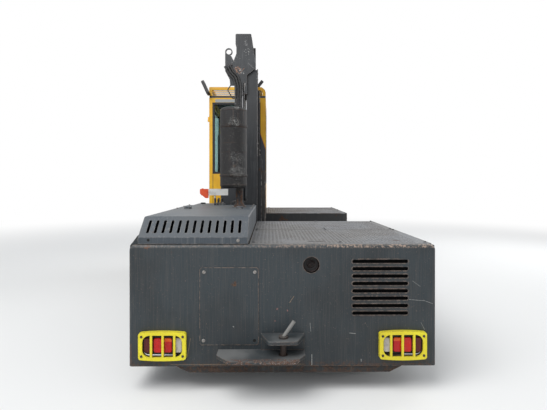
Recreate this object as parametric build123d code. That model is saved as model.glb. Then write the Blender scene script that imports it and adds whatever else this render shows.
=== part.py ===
from build123d import *
import math
import os

# Side loader forklift. Millimetres, +Z up, ground at Z 0.
# +Y is the way it travels and +X is its load side. Stations run forward from the tail face.

# Driving dimensions
body_length = 4500.0
body_width = 2200.0
deck_height = 1060.0
skirt_height = 193.0
hitch_reach = 210.0
front_guard_reach = 30.0
rear_platform = 1814.0  # from the tail face to the well
front_platform = 1400.0  # from the well to the nose
front_setback = 60.0  # the front platform is narrower on the load side

# Clearances
seat_gap = 0.3  # between curved faces that touch, and pins in their bores
run_gap = 6.0  # between pieces that move past each other
panel_gap = 3.0  # between fixed sheets that lie side by side

# Plate and sheet
skin = 8.0
deck_plate = 8.0
wall_plate = 16.0
hood_sheet = 5.0
glass = 8.0
cab_panel = 40.0
fold_radius = 25.0
corner_radius = 40.0

half_width = body_width / 2
left_x = -half_width
well_station = rear_platform
well_length = body_length - rear_platform - front_platform
rear_y = hitch_reach - (body_length + hitch_reach + front_guard_reach) / 2
front_y = rear_y + body_length
well_rear_y = rear_y + well_station
well_front_y = well_rear_y + well_length
well_mid_y = (well_rear_y + well_front_y) / 2
front_right_x = half_width - front_setback
deck_under = deck_height - deck_plate
inner_x = half_width - skin

nodes = {}


def block(x, y, z):
    """Box between low and high X, Y and Z."""
    size = [high - low for low, high in (x, y, z)]
    centre = [(high + low) / 2 for low, high in (x, y, z)]
    return Pos(*centre) * Box(*size)


def prism_x(points, x):
    """Outline of (Y, Z) points carried from the low to the high X."""
    outline = Polyline(*[(x[0], y, z) for y, z in points], close=True)
    return extrude(make_face(outline), amount=x[1] - x[0], dir=(1, 0, 0))


def prism_y(points, y):
    """Outline of (X, Z) points carried from the low to the high Y."""
    outline = Polyline(*[(x, y[0], z) for x, z in points], close=True)
    return extrude(make_face(outline), amount=y[1] - y[0], dir=(0, 1, 0))


def prism_z(points, z):
    """Outline of (X, Y) points carried from the low to the high Z."""
    outline = Polyline(*[(x, y, z[0]) for x, y in points], close=True)
    return extrude(make_face(outline), amount=z[1] - z[0], dir=(0, 0, 1))


def rod(start, end, radius):
    """Round bar between two points."""
    line = Vector(*end) - Vector(*start)
    return extrude(Plane(origin=start, z_dir=line) * Circle(radius), amount=line.length)


def rod_x(x, y, z, radius):
    """Cylinder along X between two X."""
    return rod((x[0], y, z), (x[1], y, z), radius)


def rod_y(x, y, z, radius):
    """Cylinder along Y between two Y."""
    return rod((x, y[0], z), (x, y[1], z), radius)


def group(solids):
    """Solids that share a node without touching."""
    return Compound(children=[solid for piece in solids for solid in piece.solids()])


def rear_station(distance):
    return rear_y + distance


# Wheels and axles
tyre_radius = 420.0
tyre_width = 250.0
rim_radius = 205.0
rim_wall = 14.0
hub_radius = 75.0
spindle_radius = 35.0
track_half = half_width - 210.0
rear_axle_station = well_station - 914.0
front_axle_station = body_length - 800.0
axle_height = tyre_radius
kingpin_inset = 130.0
kingpin_radius = 22.0
kingpin_eye = 45.0
kingpin_eye_height = 120.0
yoke_arm = 40.0
beam_radius = 62.0
rear_arch_radius = 475.0
front_arch_radius = 520.0
rear_axle_y = rear_station(rear_axle_station)
front_axle_y = rear_station(front_axle_station)
kingpin_x = track_half - kingpin_inset


def make_tyre(side, y):
    """Tyre as a turned section with sloped shoulders."""
    half = tyre_width / 2
    section = [
        (rim_radius + seat_gap, -half + 20),
        (tyre_radius * 0.78, -half),
        (tyre_radius - 22, -half + 8),
        (tyre_radius, -half + 32),
        (tyre_radius, half - 32),
        (tyre_radius - 22, half - 8),
        (tyre_radius * 0.78, half),
        (rim_radius + seat_gap, half - 20),
    ]
    profile = make_face(Polyline(*[(0, across, out) for out, across in section], close=True))
    body = revolve(profile, Axis((0, 0, 0), (0, 1, 0)))
    return Pos(side * track_half, y, axle_height) * Rot(0, 0, 90) * body


def make_rim(side, y):
    """Dished disc wheel: barrel, disc with hand holes, hub bored for its spindle."""
    half = tyre_width / 2 - 12
    disc_at = half - 45
    barrel = Circle(rim_radius) - Circle(rim_radius - rim_wall)
    shape = Pos(0, 0, -half) * extrude(barrel, amount=2 * half)
    shape += Pos(0, 0, disc_at) * Cylinder(rim_radius - 2, rim_wall)
    shape += Pos(0, 0, disc_at - 30) * Cylinder(hub_radius, 90)
    holes = [
        Rot(0, 0, angle) * Pos((hub_radius + rim_radius) / 2, 0, disc_at) * Cylinder(20, 3 * rim_wall)
        for angle in range(0, 360, 45)
    ]
    shape -= holes
    shape -= Pos(0, 0, disc_at - 60) * Cylinder(spindle_radius + seat_gap, 130)
    shape = Rot(0, 90, 0) * shape
    if side < 0:
        shape = Rot(0, 0, 180) * shape
    return Pos(side * track_half, y, axle_height) * shape


spindle_end = track_half + tyre_width / 2 - 12 - 45 - 2

for wheel_name, side, wheel_y in (
    ("rear_left", -1, rear_axle_y),
    ("rear_right", 1, rear_axle_y),
    ("front_left", -1, front_axle_y),
    ("front_right", 1, front_axle_y),
):
    nodes[wheel_name + "_tyre"] = make_tyre(side, wheel_y)
    nodes[wheel_name + "_rim"] = make_rim(side, wheel_y)

# Rear axle: a tube with a gear case, its spring pads and its spindles
pad_x = half_width - 385.0
rear_beam_floor = deck_height - 480.0
pad_size = 110.0
case_radius = 160.0
case_length = 250.0
case_round = 50.0


def make_rear_axle():
    shape = rod_x((-pad_x - 20, pad_x + 20), rear_axle_y, axle_height, beam_radius)
    shape += rod_x((-spindle_end, spindle_end), rear_axle_y, axle_height, spindle_radius)
    case = Rot(0, 90, 0) * Cylinder(case_radius, case_length)
    shape += Pos(0, rear_axle_y, axle_height) * fillet(case.edges(), case_round)
    for side in (-1, 1):
        shape += block(
            (side * pad_x - 35, side * pad_x + 35),
            (rear_axle_y - pad_size / 2, rear_axle_y + pad_size / 2),
            (axle_height - 20, rear_beam_floor),
        )
    return shape


nodes["rear_axle"] = make_rear_axle()

# Front axle: box beam with kingpin eyes and the steering cylinder behind it
front_beam_x = half_width - 635.0
front_beam_floor = deck_height - 440.0
cylinder_set_back = 165.0
tie_rod_radius = 15.0
tie_rod_drop = 50.0
steer_barrel_radius = 34.0
steer_barrel_half = 230.0
tie_rod_y = front_axle_y - cylinder_set_back
tie_rod_z = axle_height - tie_rod_drop


def make_front_axle():
    shape = block(
        (-kingpin_x + 20, kingpin_x - 20),
        (front_axle_y - 60, front_axle_y + 60),
        (axle_height - 50, axle_height + 50),
    )
    for side in (-1, 1):
        at = Pos(side * kingpin_x, front_axle_y, axle_height)
        shape += at * Cylinder(kingpin_eye, kingpin_eye_height)
        shape -= at * Cylinder(kingpin_radius + seat_gap, 2 * kingpin_eye_height)
        shape += block(
            (side * front_beam_x - 35, side * front_beam_x + 35),
            (front_axle_y - pad_size / 2, front_axle_y + pad_size / 2),
            (axle_height + 40, front_beam_floor),
        )
    barrel = rod_x((-steer_barrel_half, steer_barrel_half), tie_rod_y, tie_rod_z, steer_barrel_radius)
    shape += barrel
    shape += block((-40, 40), (tie_rod_y, front_axle_y - 55), (tie_rod_z - 20, tie_rod_z + 25))
    shape -= rod(
        (-steer_barrel_half - 5, tie_rod_y, tie_rod_z),
        (steer_barrel_half + 5, tie_rod_y, tie_rod_z),
        tie_rod_radius + seat_gap,
    )
    return shape


nodes["front_axle"] = make_front_axle()
tie_rod_half = kingpin_x - 70.0
nodes["tie_rod"] = rod_x((-tie_rod_half, tie_rod_half), tie_rod_y, tie_rod_z, tie_rod_radius)


def make_knuckle(side):
    """Yoke round the kingpin eye, its spindle outboard and its steering arm behind."""
    eye = kingpin_eye_height / 2
    arm_gap = 1.0
    low = axle_height - eye - arm_gap - yoke_arm
    high = axle_height + eye + arm_gap + yoke_arm
    back_x = kingpin_x + kingpin_eye + run_gap
    shape = Pos(side * kingpin_x, front_axle_y, (low + high) / 2) * Cylinder(kingpin_radius, high - low)
    for z in (low, high - yoke_arm):
        shape += Pos(side * kingpin_x, front_axle_y, z + yoke_arm / 2) * Cylinder(kingpin_eye - 3, yoke_arm)
        xs = sorted((side * kingpin_x, side * (back_x + 24)))
        shape += block(xs, (front_axle_y - 32, front_axle_y + 32), (z, z + yoke_arm))
    xs = sorted((side * back_x, side * (back_x + 24)))
    shape += block(xs, (front_axle_y - 32, front_axle_y + 32), (low, high))
    shape += rod_x((side * back_x, side * spindle_end), front_axle_y, axle_height, spindle_radius)
    arm_z = (low, low + 22)
    xs = sorted((side * (kingpin_x - 70), side * (kingpin_x + 20)))
    arm = block((xs[0], xs[1]), (front_axle_y - 150, front_axle_y - 25), arm_z)
    shape += arm
    return shape


nodes["left_knuckle"] = make_knuckle(-1)
nodes["right_knuckle"] = make_knuckle(1)

# Chassis frame, C-shaped in plan
wall_low = 300.0
spine_x = (-inner_x, left_x + 500.0)
spine_z = (deck_height - 860.0, deck_height - 715.0)
rail_beam_x = (-inner_x, left_x + 90.0)
rail_beam_z = (deck_height - 280.0, deck_height - 20.0)
rear_beams = (-pad_x, left_x + 915.0, pad_x)
rear_beam_width = 70.0
front_beams = (-front_beam_x, front_beam_x)
tail_frame_station = 60.0
nose_frame_station = body_length - 76.0
nose_frame_low = wall_low + 150.0


def make_chassis_frame():
    rear_wall_y = (well_rear_y - wall_plate, well_rear_y)
    front_wall_y = (well_front_y, well_front_y + wall_plate)
    tail_y = rear_station(tail_frame_station)
    nose_y = rear_station(nose_frame_station)
    shape = block((-inner_x, inner_x), rear_wall_y, (wall_low, deck_under))
    shape += block((-inner_x, front_right_x - skin), front_wall_y, (wall_low, deck_under))
    shape += block(spine_x, (well_rear_y - wall_plate, well_front_y + wall_plate), spine_z)
    shape += block(spine_x, rear_wall_y, (spine_z[0], wall_low + 10))
    shape += block(spine_x, front_wall_y, (spine_z[0], wall_low + 10))
    shape += block(rail_beam_x, (well_rear_y - wall_plate, well_front_y + wall_plate), rail_beam_z)
    for x in rear_beams:
        shape += block(
            (x - rear_beam_width / 2, x + rear_beam_width / 2),
            (rear_station(skin), rear_wall_y[1]),
            (rear_beam_floor, deck_under),
        )
    shape += block((-inner_x, inner_x), (tail_y, tail_y + wall_plate), (wall_low, deck_under))
    for x in front_beams:
        shape += block(
            (x - rear_beam_width / 2, x + rear_beam_width / 2),
            (front_wall_y[0], front_y - skin),
            (front_beam_floor, deck_under),
        )
    nose_x = (-inner_x, front_right_x - skin)
    shape += block(nose_x, (nose_y, nose_y + wall_plate), (nose_frame_low, deck_under))
    fold = fold_radius - skin
    rear_end, front_end = rear_station(skin), front_y - skin
    for y in ((rear_end - 1, rear_end + fold), (front_end - fold, front_end + 1)):
        shape -= block((-half_width, half_width), y, (deck_under - fold, deck_under + 1))
    return shape


nodes["chassis_frame"] = make_chassis_frame()

# Ballast under the tail and the engine as one plain block
ballast_x = (left_x + 336.0, half_width - 243.0)
ballast_z = (skirt_height - 48.0, skirt_height + 87.0)
ballast_depth = 260.0
ballast_taper = 90.0


def make_ballast_block():
    low, high = ballast_x
    points = [
        (low + ballast_taper, ballast_z[0]),
        (high - ballast_taper, ballast_z[0]),
        (high, ballast_z[0] + 45),
        (high, ballast_z[1]),
        (low, ballast_z[1]),
        (low, ballast_z[0] + 45),
    ]
    start = rear_station(skin)
    return prism_y(points, (start + seat_gap, start + ballast_depth))


nodes["ballast_block"] = make_ballast_block()
engine_x = (left_x + 460.0, left_x + 800.0)
engine_stations = (well_station - 1484.0, well_station - 564.0)
engine_z = (deck_height - 590.0, deck_height - 10.0)
engine_foot = 90.0
engine_foot_z = (deck_height - 360.0, deck_height - 300.0)
axle_notch = 230.0


def make_engine_block():
    start, end = rear_station(engine_stations[0]), rear_station(engine_stations[1])
    shape = block(engine_x, (start, end), engine_z)
    notch_z = (0, axle_height + case_radius + 60)
    shape -= block((left_x, half_width), (rear_axle_y - axle_notch, rear_axle_y + axle_notch), notch_z)
    for y in ((start, start + engine_foot), (end - engine_foot, end)):
        shape += block((-pad_x + rear_beam_width / 2, engine_x[0] + 1), y, engine_foot_z)
        shape += block((engine_x[1] - 1, rear_beams[1] - rear_beam_width / 2), y, engine_foot_z)
    return shape


nodes["engine_block"] = make_engine_block()

# Tail panel: folded tray with its openings
tail_depth = 30.0
round_hole = (204.0, deck_height - 145.0, 58.0)
louvre_x = (half_width - 603.0, half_width - 202.0)
louvre_top = deck_height - 119.0
louvre_pitch = 53.0
louvre_height = 26.0
louvre_count = 8
louvre_lip = 5.0
louvre_rise = 3.0
hitch_left = -156.0
cover_x = (left_x + 505.0, hitch_left - 16.0)
cover_z = (skirt_height + 152.0, deck_height - 160.0)
cover_thickness = 4.0
cover_rebate = 30.0
guard_x = (half_width - 414.0, half_width - 76.0)
guard_z = (skirt_height + 49.0, skirt_height + 257.0)
guard_mid_z = (guard_z[0] + guard_z[1]) / 2
lamp_window = (281.0, 154.0)
window_round = 52.0
guard_mid_x = (guard_x[0] + guard_x[1]) / 2


def make_tray(x, y, z, depth_sign):
    """Sheet with round top corners and its vertical and top edges folded round."""

    def folded(shape, face_y, low, corner, fold):
        top = shape.edges().filter_by(Axis.Y).filter_by(lambda e: e.center().Z > low + corner)
        shape = fillet(top, corner)
        rim = shape.edges().filter_by(lambda e: abs(e.center().Y - face_y) < 1 and e.center().Z > low + 1)
        return fillet(rim, fold)

    face_y = y[0] if depth_sign > 0 else y[1]
    outer = folded(block(x, y, z), face_y, z[0], corner_radius, fold_radius)
    inner_y = (y[0] + skin, y[1] + 5) if depth_sign > 0 else (y[0] - 5, y[1] - skin)
    face_y = inner_y[0] if depth_sign > 0 else inner_y[1]
    inner = block((x[0] + skin, x[1] - skin), inner_y, (z[0] - 5, z[1] - skin))
    return outer - folded(inner, face_y, z[0] - 5, corner_radius - skin, fold_radius - skin)


def make_tail_panel():
    panel_y = (rear_y, rear_y + tail_depth)
    shape = make_tray((-half_width, half_width), panel_y, (skirt_height, deck_height), 1)
    cut_y = (rear_y - 20, rear_y + skin + 1)
    hole_x, hole_z, hole_radius = round_hole
    shape -= rod_y(hole_x, (cut_y[0], cut_y[1]), hole_z, hole_radius)
    face = Plane(origin=(0, cut_y[0], 0), x_dir=(1, 0, 0), z_dir=(0, -1, 0))
    slots = []
    louvre_length = louvre_x[1] - louvre_x[0]
    for index in range(louvre_count):
        at = Pos(sum(louvre_x) / 2, louvre_top - index * louvre_pitch)
        rim = SlotOverall(louvre_length + 2 * louvre_lip, louvre_height + 2 * louvre_lip)
        lip_plane = Plane(origin=(0, rear_y, 0), x_dir=(1, 0, 0), z_dir=(0, -1, 0))
        shape += extrude(lip_plane * at * rim, amount=louvre_rise)
        slots.append(extrude(face * at * SlotOverall(louvre_length, louvre_height), amount=-60))
    for side in (-1, 1):
        slot = RectangleRounded(lamp_window[0], lamp_window[1], window_round - 10)
        slots.append(extrude(face * Pos(side * guard_mid_x, guard_mid_z) * slot, amount=-60))
    shape -= slots
    shape -= block(
        (cover_x[0] + cover_rebate, cover_x[1] - cover_rebate),
        cut_y,
        (cover_z[0] + cover_rebate, cover_z[1] - cover_rebate),
    )
    return shape


nodes["tail_panel"] = make_tail_panel()
cover_clip = 14.0
cover_plate = block(cover_x, (rear_y - cover_thickness, rear_y), cover_z)
nodes["tail_cover"] = chamfer(cover_plate.edges().filter_by(Axis.Y), cover_clip)

# Front panel
front_panel_low = skirt_height + 137.0
nodes["front_panel"] = make_tray(
    (-half_width, front_right_x), (front_y - tail_depth, front_y), (front_panel_low, deck_height), -1
)

# Side panels with their wheel arches; the left rear one has a sloped shoulder
shoulder_low = deck_under
shoulder_high = deck_height + 64.0
shoulder_x = left_x + 55.0
side_low = skirt_height
step_station = (body_length - 260.0, body_length - 90.0)
step_depth = 140.0
step_sheet = 5.0
step_z = (deck_height - 580.0, deck_height - 360.0)


def arch_cut(side, y, radius):
    x = (side * half_width - 90, side * half_width + 90)
    cut = rod_x((x[0], x[1]), y, axle_height, radius)
    return cut + block(x, (y - radius, y + radius), (0, axle_height))


def make_side_panels():
    rear_span = (rear_y + tail_depth + panel_gap, well_rear_y)
    front_span = (well_front_y, front_y - tail_depth - panel_gap)
    right_rear = block((inner_x, half_width), rear_span, (side_low, deck_under))
    right_rear -= arch_cut(1, rear_axle_y, rear_arch_radius)
    right_front = block((front_right_x - skin, front_right_x), front_span, (front_panel_low, deck_under))
    right_front -= arch_cut(1, front_axle_y, front_arch_radius)
    profile = [
        (-half_width, side_low),
        (-half_width, shoulder_low),
        (shoulder_x, shoulder_high),
        (shoulder_x, shoulder_low),
        (-inner_x, shoulder_low),
        (-inner_x, side_low),
    ]
    left_rear = prism_y(profile, rear_span) - arch_cut(-1, rear_axle_y, rear_arch_radius)
    left_front = block((-half_width, -inner_x), front_span, (front_panel_low, deck_under))
    left_front -= arch_cut(-1, front_axle_y, front_arch_radius)
    step_y = (rear_station(step_station[0]), rear_station(step_station[1]))
    left_front += block(
        (-inner_x - 1, -inner_x + step_depth + step_sheet),
        (step_y[0] - step_sheet, step_y[1] + step_sheet),
        (step_z[0] - step_sheet, step_z[1] + step_sheet),
    )
    left_front -= block((-half_width - 5, -inner_x + step_depth), step_y, step_z)
    return group([right_rear, right_front, left_rear, left_front])


nodes["side_panels"] = make_side_panels()

# Decks
deck_left_x = left_x + 858.0
deck_right_x = half_width - 6.0
deck_clip = 40.0
deck_start = rear_y + tail_depth + panel_gap
hand_slot = (190.0, 312.0, 165.0, 195.0)
front_deck_left_x = left_x + 960.0


def make_rear_deck():
    points = [
        (deck_left_x, deck_start),
        (deck_right_x - deck_clip, deck_start),
        (deck_right_x, deck_start + deck_clip),
        (deck_right_x, well_rear_y),
        (deck_left_x, well_rear_y),
    ]
    shape = prism_z(points, (deck_under, deck_height))
    x0, x1, s0, s1 = hand_slot
    shape -= block((x0, x1), (rear_station(s0), rear_station(s1)), (deck_under - 5, deck_height + 5))
    return shape


nodes["rear_deck"] = make_rear_deck()
nodes["front_deck"] = block(
    (front_deck_left_x, front_right_x),
    (well_front_y, front_y - tail_depth - panel_gap),
    (deck_under, deck_height),
)

# Tow hitch: two plates on a back plate, with the drop pin
hitch_pin_y = rear_y - 95.0
hitch_pin_radius = 20.5
hitch_plate = 20.0
lower_plate = ((-461.0, 152.0), (-369.0, 81.0), 210.0, 294.0)
upper_plate = ((hitch_left, 152.0), (-104.0, 96.0), 165.0, 404.0)
upper_thickness = 26.0
upper_round = 70.0
hitch_back = 12.0
pin_handle = (75.0, 115.0)
handle_radius = 13.0


def make_tow_hitch():
    (wide_low, wide_high), (tip_low, tip_high), reach, low_z = lower_plate
    points = [
        (wide_low, rear_y),
        (wide_high, rear_y),
        (wide_high, rear_y - reach / 2),
        (tip_high, rear_y - reach),
        (tip_low, rear_y - reach),
        (wide_low, rear_y - reach / 2),
    ]
    shape = prism_z(points, (low_z, low_z + hitch_plate))
    (wide_low, wide_high), (tip_low, tip_high), reach, up_z = upper_plate
    top = up_z + upper_thickness
    points = [
        (wide_low, rear_y),
        (wide_high, rear_y),
        (wide_high, rear_y - 25),
        (tip_high, rear_y - reach),
        (tip_low, rear_y - reach),
        (wide_low, rear_y - 25),
    ]
    moon = prism_z(points, (up_z, top))
    corners = moon.edges().filter_by(Axis.Z).filter_by(lambda e: e.center().Y < rear_y - 1)
    moon = fillet(corners, upper_round / 2)
    moon = chamfer(moon.edges().filter_by(lambda e: e.center().Z > top - 1 and e.center().Y < rear_y - 20), 4)
    shape += moon
    shape += block((wide_low, wide_high), (rear_y - hitch_back, rear_y), (low_z - 25, top))
    shape -= rod((0, hitch_pin_y, low_z - 5), (0, hitch_pin_y, top + 5), hitch_pin_radius + seat_gap)
    pin = rod((0, hitch_pin_y, low_z - 35), (0, hitch_pin_y, top + 14), hitch_pin_radius)
    pin += rod((0, hitch_pin_y, top + seat_gap), (0, hitch_pin_y, top + 14), hitch_pin_radius + 12)
    across, up = pin_handle
    pin += rod((0, hitch_pin_y, top + 6), (across, hitch_pin_y, top + up), handle_radius)
    return group([shape, pin])


nodes["tow_hitch"] = make_tow_hitch()

# Lamp guards, cast boxes with three bars across a long window, and the lamps behind them
guard_depth = 30.0
guard_wall = 12.0
guard_bulge = 9.0
guard_corner = 20.0
guard_bars = (-86.0, -4.0, 78.0)
guard_bar_width = 17.0
head_lamp_z = deck_height - 420.0
lamp_shade = 24.0
lamp_round = 38.0
lens_gap = 6.0
lens_round = 18.0
lens_rise = 10.0


def make_guard(x, z, face_y, out):
    """Cast guard on a face, standing out towards out."""
    width = guard_x[1] - guard_x[0]
    height = guard_z[1] - guard_z[0]
    half_w, half_h = width / 2, height / 2 - guard_bulge
    front = Plane(origin=(x, face_y, z), x_dir=(1, 0, 0), z_dir=(0, -1, 0))
    edge = [
        Line((-half_w, -half_h), (-half_w, half_h)),
        ThreePointArc((-half_w, half_h), (0, half_h + guard_bulge), (half_w, half_h)),
        Line((half_w, half_h), (half_w, -half_h)),
        ThreePointArc((half_w, -half_h), (0, -half_h - guard_bulge), (-half_w, -half_h)),
    ]
    outline = make_face(Curve() + edge)
    outline = fillet(outline.vertices(), guard_corner)
    sign = -out
    shape = extrude(front * outline, amount=sign * guard_depth)
    hollow = RectangleRounded(width - 2 * guard_wall, height - 3 * guard_wall, 30)
    shape -= extrude(front * hollow, amount=sign * (guard_depth - guard_wall))
    window = RectangleRounded(lamp_window[0], lamp_window[1], window_round)
    cut = extrude(front * window, amount=sign * (guard_depth + 5))
    for bar in guard_bars:
        offset = bar if x > 0 else -bar
        bar_z = (z - lamp_window[1], z + lamp_window[1])
        y = sorted((face_y + out * (guard_depth - guard_wall), face_y + out * (guard_depth + 8)))
        cut -= block((x + offset - guard_bar_width / 2, x + offset + guard_bar_width / 2), y, bar_z)
    return shape - cut


head_lamp_x = (-guard_mid_x, guard_mid_x - front_setback)
nodes["lamp_guards"] = group(
    [make_guard(side * guard_mid_x, guard_mid_z, rear_y, -1) for side in (-1, 1)]
    + [make_guard(x, head_lamp_z, front_y, 1) for x in head_lamp_x]
)


def make_lamp(x, z, face_y, out, lens_count):
    """Lamp body in its recess with a row of rounded lens pads."""
    width = lamp_window[0] - 2 * seat_gap
    height = lamp_window[1] - lamp_shade
    y = sorted((face_y - out * 50, face_y + out * 2))
    shape = block((x - width / 2, x + width / 2), y, (z - height / 2, z + height / 2))
    shape = fillet(shape.edges().filter_by(Axis.Y), lamp_round)
    pitch = width / lens_count
    face = Plane(origin=(x, face_y, z), x_dir=(1, 0, 0), z_dir=(0, out, 0))
    for index in range(lens_count):
        along_row = pitch * (index + 0.5) - width / 2
        pad = RectangleRounded(pitch - lens_gap, height - 4 * lens_gap, lens_round)
        shape += extrude(face * Pos(along_row, 0) * pad, amount=lens_rise, taper=20)
    return shape


tail_lamp_lenses = 4
nodes["tail_lamps"] = group(
    [make_lamp(side * guard_mid_x, guard_mid_z, rear_y, -1, tail_lamp_lenses) for side in (-1, 1)]
)
head_lamp_lenses = 2
nodes["head_lamps"] = group([make_lamp(x, head_lamp_z, front_y, 1, head_lamp_lenses) for x in head_lamp_x])
for x in head_lamp_x:
    nodes["front_panel"] -= block(
        (x - lamp_window[0] / 2, x + lamp_window[0] / 2),
        (front_y - 20, front_y + 20),
        (head_lamp_z - lamp_window[1] / 2, head_lamp_z + lamp_window[1] / 2),
    )

# Engine hood, hinged at its front edge, and the fixed cowl
hood_x = (left_x + 60.0, left_x + 850.0)
hood_start = 20.0
hood_seam = well_station - 714.0
hood_flange_top = deck_height + 51.0
hood_top = deck_height + 190.0
hood_slope_run = 163.0
hood_base = deck_height + 4.0
hood_edge_round = 12.0
hood_slots = 13
hood_slot_pitch = 55.7
hood_slot_width = 20.0
hood_slot_length = 130.0
first_slot_x = hood_x[0] + 57.0
cowl_end = well_station - 14.0
hood_hinge_z = hood_top + 13.0


def make_engine_hood():
    y0, y1 = rear_station(hood_start), rear_station(hood_seam)
    slope_y = y0 + hood_slope_run
    points = [(y0, hood_base), (y0, hood_flange_top), (slope_y, hood_top), (y1, hood_top), (y1, hood_base)]
    shape = prism_x(points, hood_x)
    top = shape.edges().filter_by(lambda e: e.center().Z > hood_top - 1)
    shape = fillet(top.filter_by(lambda e: e.center().Y < y1 - 1), hood_edge_round)
    t = hood_sheet
    lean = t * 0.35
    points = [
        (y0 + t, hood_base - 5),
        (y0 + t, hood_flange_top - lean),
        (slope_y + lean, hood_top - t),
        (y1 - t, hood_top - t),
        (y1 - t, hood_base - 5),
    ]
    shape -= prism_x(points, (hood_x[0] + t, hood_x[1] - t))
    run = Vector(0, hood_slope_run, hood_top - hood_flange_top)
    middle = (0, y0 + hood_slope_run / 2, (hood_top + hood_flange_top) / 2)
    face = Plane(origin=middle, x_dir=(1, 0, 0), z_dir=run.cross(Vector(-1, 0, 0)))
    for index in range(hood_slots):
        slot = SlotOverall(hood_slot_length, hood_slot_width, rotation=90)
        x = first_slot_x + index * hood_slot_pitch
        shape -= extrude(face * Pos(x, 0) * slot, amount=20, both=True)
    eye_y = y1 + 4
    for x in (hood_x[0] + 120, hood_x[1] - 160):
        lug = block((x, x + 40), (y1 - 30, y1 + panel_gap), (hood_top, hood_top + 8))
        lug += rod_x((x, x + 40), eye_y, hood_hinge_z, 12)
        shape += lug - rod_x((x - 1, x + 41), eye_y, hood_hinge_z, 5 + seat_gap)
    return shape


nodes["engine_hood"] = make_engine_hood()


def make_hood_cowl():
    y0, y1 = rear_station(hood_seam) + panel_gap, rear_station(cowl_end)
    shape = block(hood_x, (y0, y1), (deck_height, hood_top))
    top = shape.edges().filter_by(lambda e: e.center().Z > hood_top - 1)
    shape = fillet(top.filter_by(lambda e: e.center().Y > y0 + 1), hood_edge_round)
    t = hood_sheet
    shape -= block((hood_x[0] + t, hood_x[1] - t), (y0 + t, y1 - t), (deck_height - 5, hood_top - t))
    eye_y = rear_station(hood_seam) + 4
    for x in (hood_x[0] + 120, hood_x[1] - 160):
        lug = block((x - 12, x + 52), (eye_y - 8, eye_y + 40), (hood_top + 2, hood_top + 20))
        lug += block((x - 12, x + 52), (y0, eye_y + 40), (hood_top - 1, hood_top + 3))
        lug -= block((x - 1, x + 41), (eye_y - 20, eye_y + 20), (hood_top, hood_top + 30))
        lug += rod_x((x - 12, x + 52), eye_y, hood_hinge_z, 5)
        shape += lug
    return shape


nodes["hood_cowl"] = make_hood_cowl()
frame_sill = block(hood_x, (rear_station(hood_start + 60), rear_station(cowl_end)), (deck_under, deck_height))
frame_sill -= block(
    (hood_x[0] + 40, hood_x[1] - 40),
    (rear_station(hood_start + 100), rear_station(cowl_end - 40)),
    (deck_under - 5, deck_height + 5),
)
nodes["chassis_frame"] += frame_sill

# Silencer on its stem
can_x, can_station = left_x + 628.0, well_station - 454.0
can_radius = 139.0
can_z = (deck_height + 390.0, deck_height + 1220.0)
stem_x = left_x + 688.0
stem_radius = 37.0
silencer_bands = (  # up from the foot of the can, height, rise over the can
    (118.0, 12.0, 3.0),
    (367.0, 94.0, 2.0),
    (623.0, 12.0, 3.0),
)


def make_silencer():
    y = rear_station(can_station)
    can = Pos(can_x, y, sum(can_z) / 2) * Cylinder(can_radius, can_z[1] - can_z[0])
    can = fillet(can.edges(), 32)
    for up, height, rise in silencer_bands:
        can += Pos(can_x, y, can_z[0] + up + height / 2) * Cylinder(can_radius + rise, height)
    can += rod((stem_x, y, hood_top), (stem_x, y, can_z[0] + 5), stem_radius)
    can += Pos(stem_x, y, hood_top + 30) * Cone(stem_radius + 28, stem_radius, 60)
    can += rod((can_x + 55, y, can_z[1] - 5), (can_x + 55, y, can_z[1] + 95), 26)
    return can


nodes["silencer"] = make_silencer()

# Hydraulic tank beside the mast foot, and the fuel tank ahead of the right rear wheel
oil_tank_x = (left_x + 110.0, left_x + 460.0)
tilt_spread = well_length / 8 - 10.75  # each tilt cylinder from the middle of the well
oil_tank_y = (well_rear_y, well_mid_y - tilt_spread - 127.0)
oil_tank = block(oil_tank_x, oil_tank_y, (deck_height - 190, hood_top))
nodes["hydraulic_tank"] = fillet(oil_tank.edges().filter_by(Axis.Y), 25)
fuel_tank_x = (pad_x + rear_beam_width / 2, inner_x - 4)
fuel_tank_z = (skirt_height + 87.0, deck_height - 210.0)
fuel_tank_length = 398.0
fuel_tank_front = well_rear_y - wall_plate
fuel_tank = block(fuel_tank_x, (fuel_tank_front - fuel_tank_length, fuel_tank_front), fuel_tank_z)
nodes["fuel_tank"] = fillet(fuel_tank.edges().filter_by(Axis.Y), 60)

# Marker bar on its post: a two-row board with a slanted end piece
bar_x = (left_x + 225.0, left_x + 531.0)
bar_z = (deck_height + 302.0, deck_height + 375.0)
bar_groove = 5.0
bar_station = well_station - 74.0
bar_sheet = 14.0
post_x = left_x + 380.0


def make_marker_bar():
    y = (rear_station(bar_station), rear_station(bar_station) + bar_sheet)
    board = block(bar_x, y, bar_z)
    groove_z = sum(bar_z) / 2
    groove = (groove_z - bar_groove / 2, groove_z + bar_groove / 2)
    board -= block((bar_x[0] + 40, bar_x[1] + 5), (y[0] - 5, y[0] + 3), groove)
    low, high = bar_z[0] - 32, bar_z[1] + 8
    points = [
        (bar_x[0] - 12, high - 12),
        (bar_x[0] + 22, high),
        (bar_x[0] + 84, low + 48),
        (bar_x[0] + 84, low),
        (bar_x[0] + 52, low),
        (bar_x[0] - 12, high - 62),
    ]
    end = prism_y(points, (y[0] - 8, y[1] + 2))
    board += fillet(end.edges().filter_by(Axis.Y), 10)
    post_y = y[1] + 6
    return board + rod((post_x, post_y, hood_top), (post_x, post_y, bar_z[1] - 30), 9)


nodes["marker_bar"] = make_marker_bar()

# Mast guide rails along both walls of the well, with the rack on the rear one
rail_depth = 48.0
rail_web = 12.0
rail_flange = 14.0
rail_z = (deck_height - 590.0, deck_height - 450.0)
rail_left = -inner_x + 7.0
rail_right = front_right_x - skin - 2.0
rail_stop = 10.0
rack_height = 16.0
rack_pitch = 40.0


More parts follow.
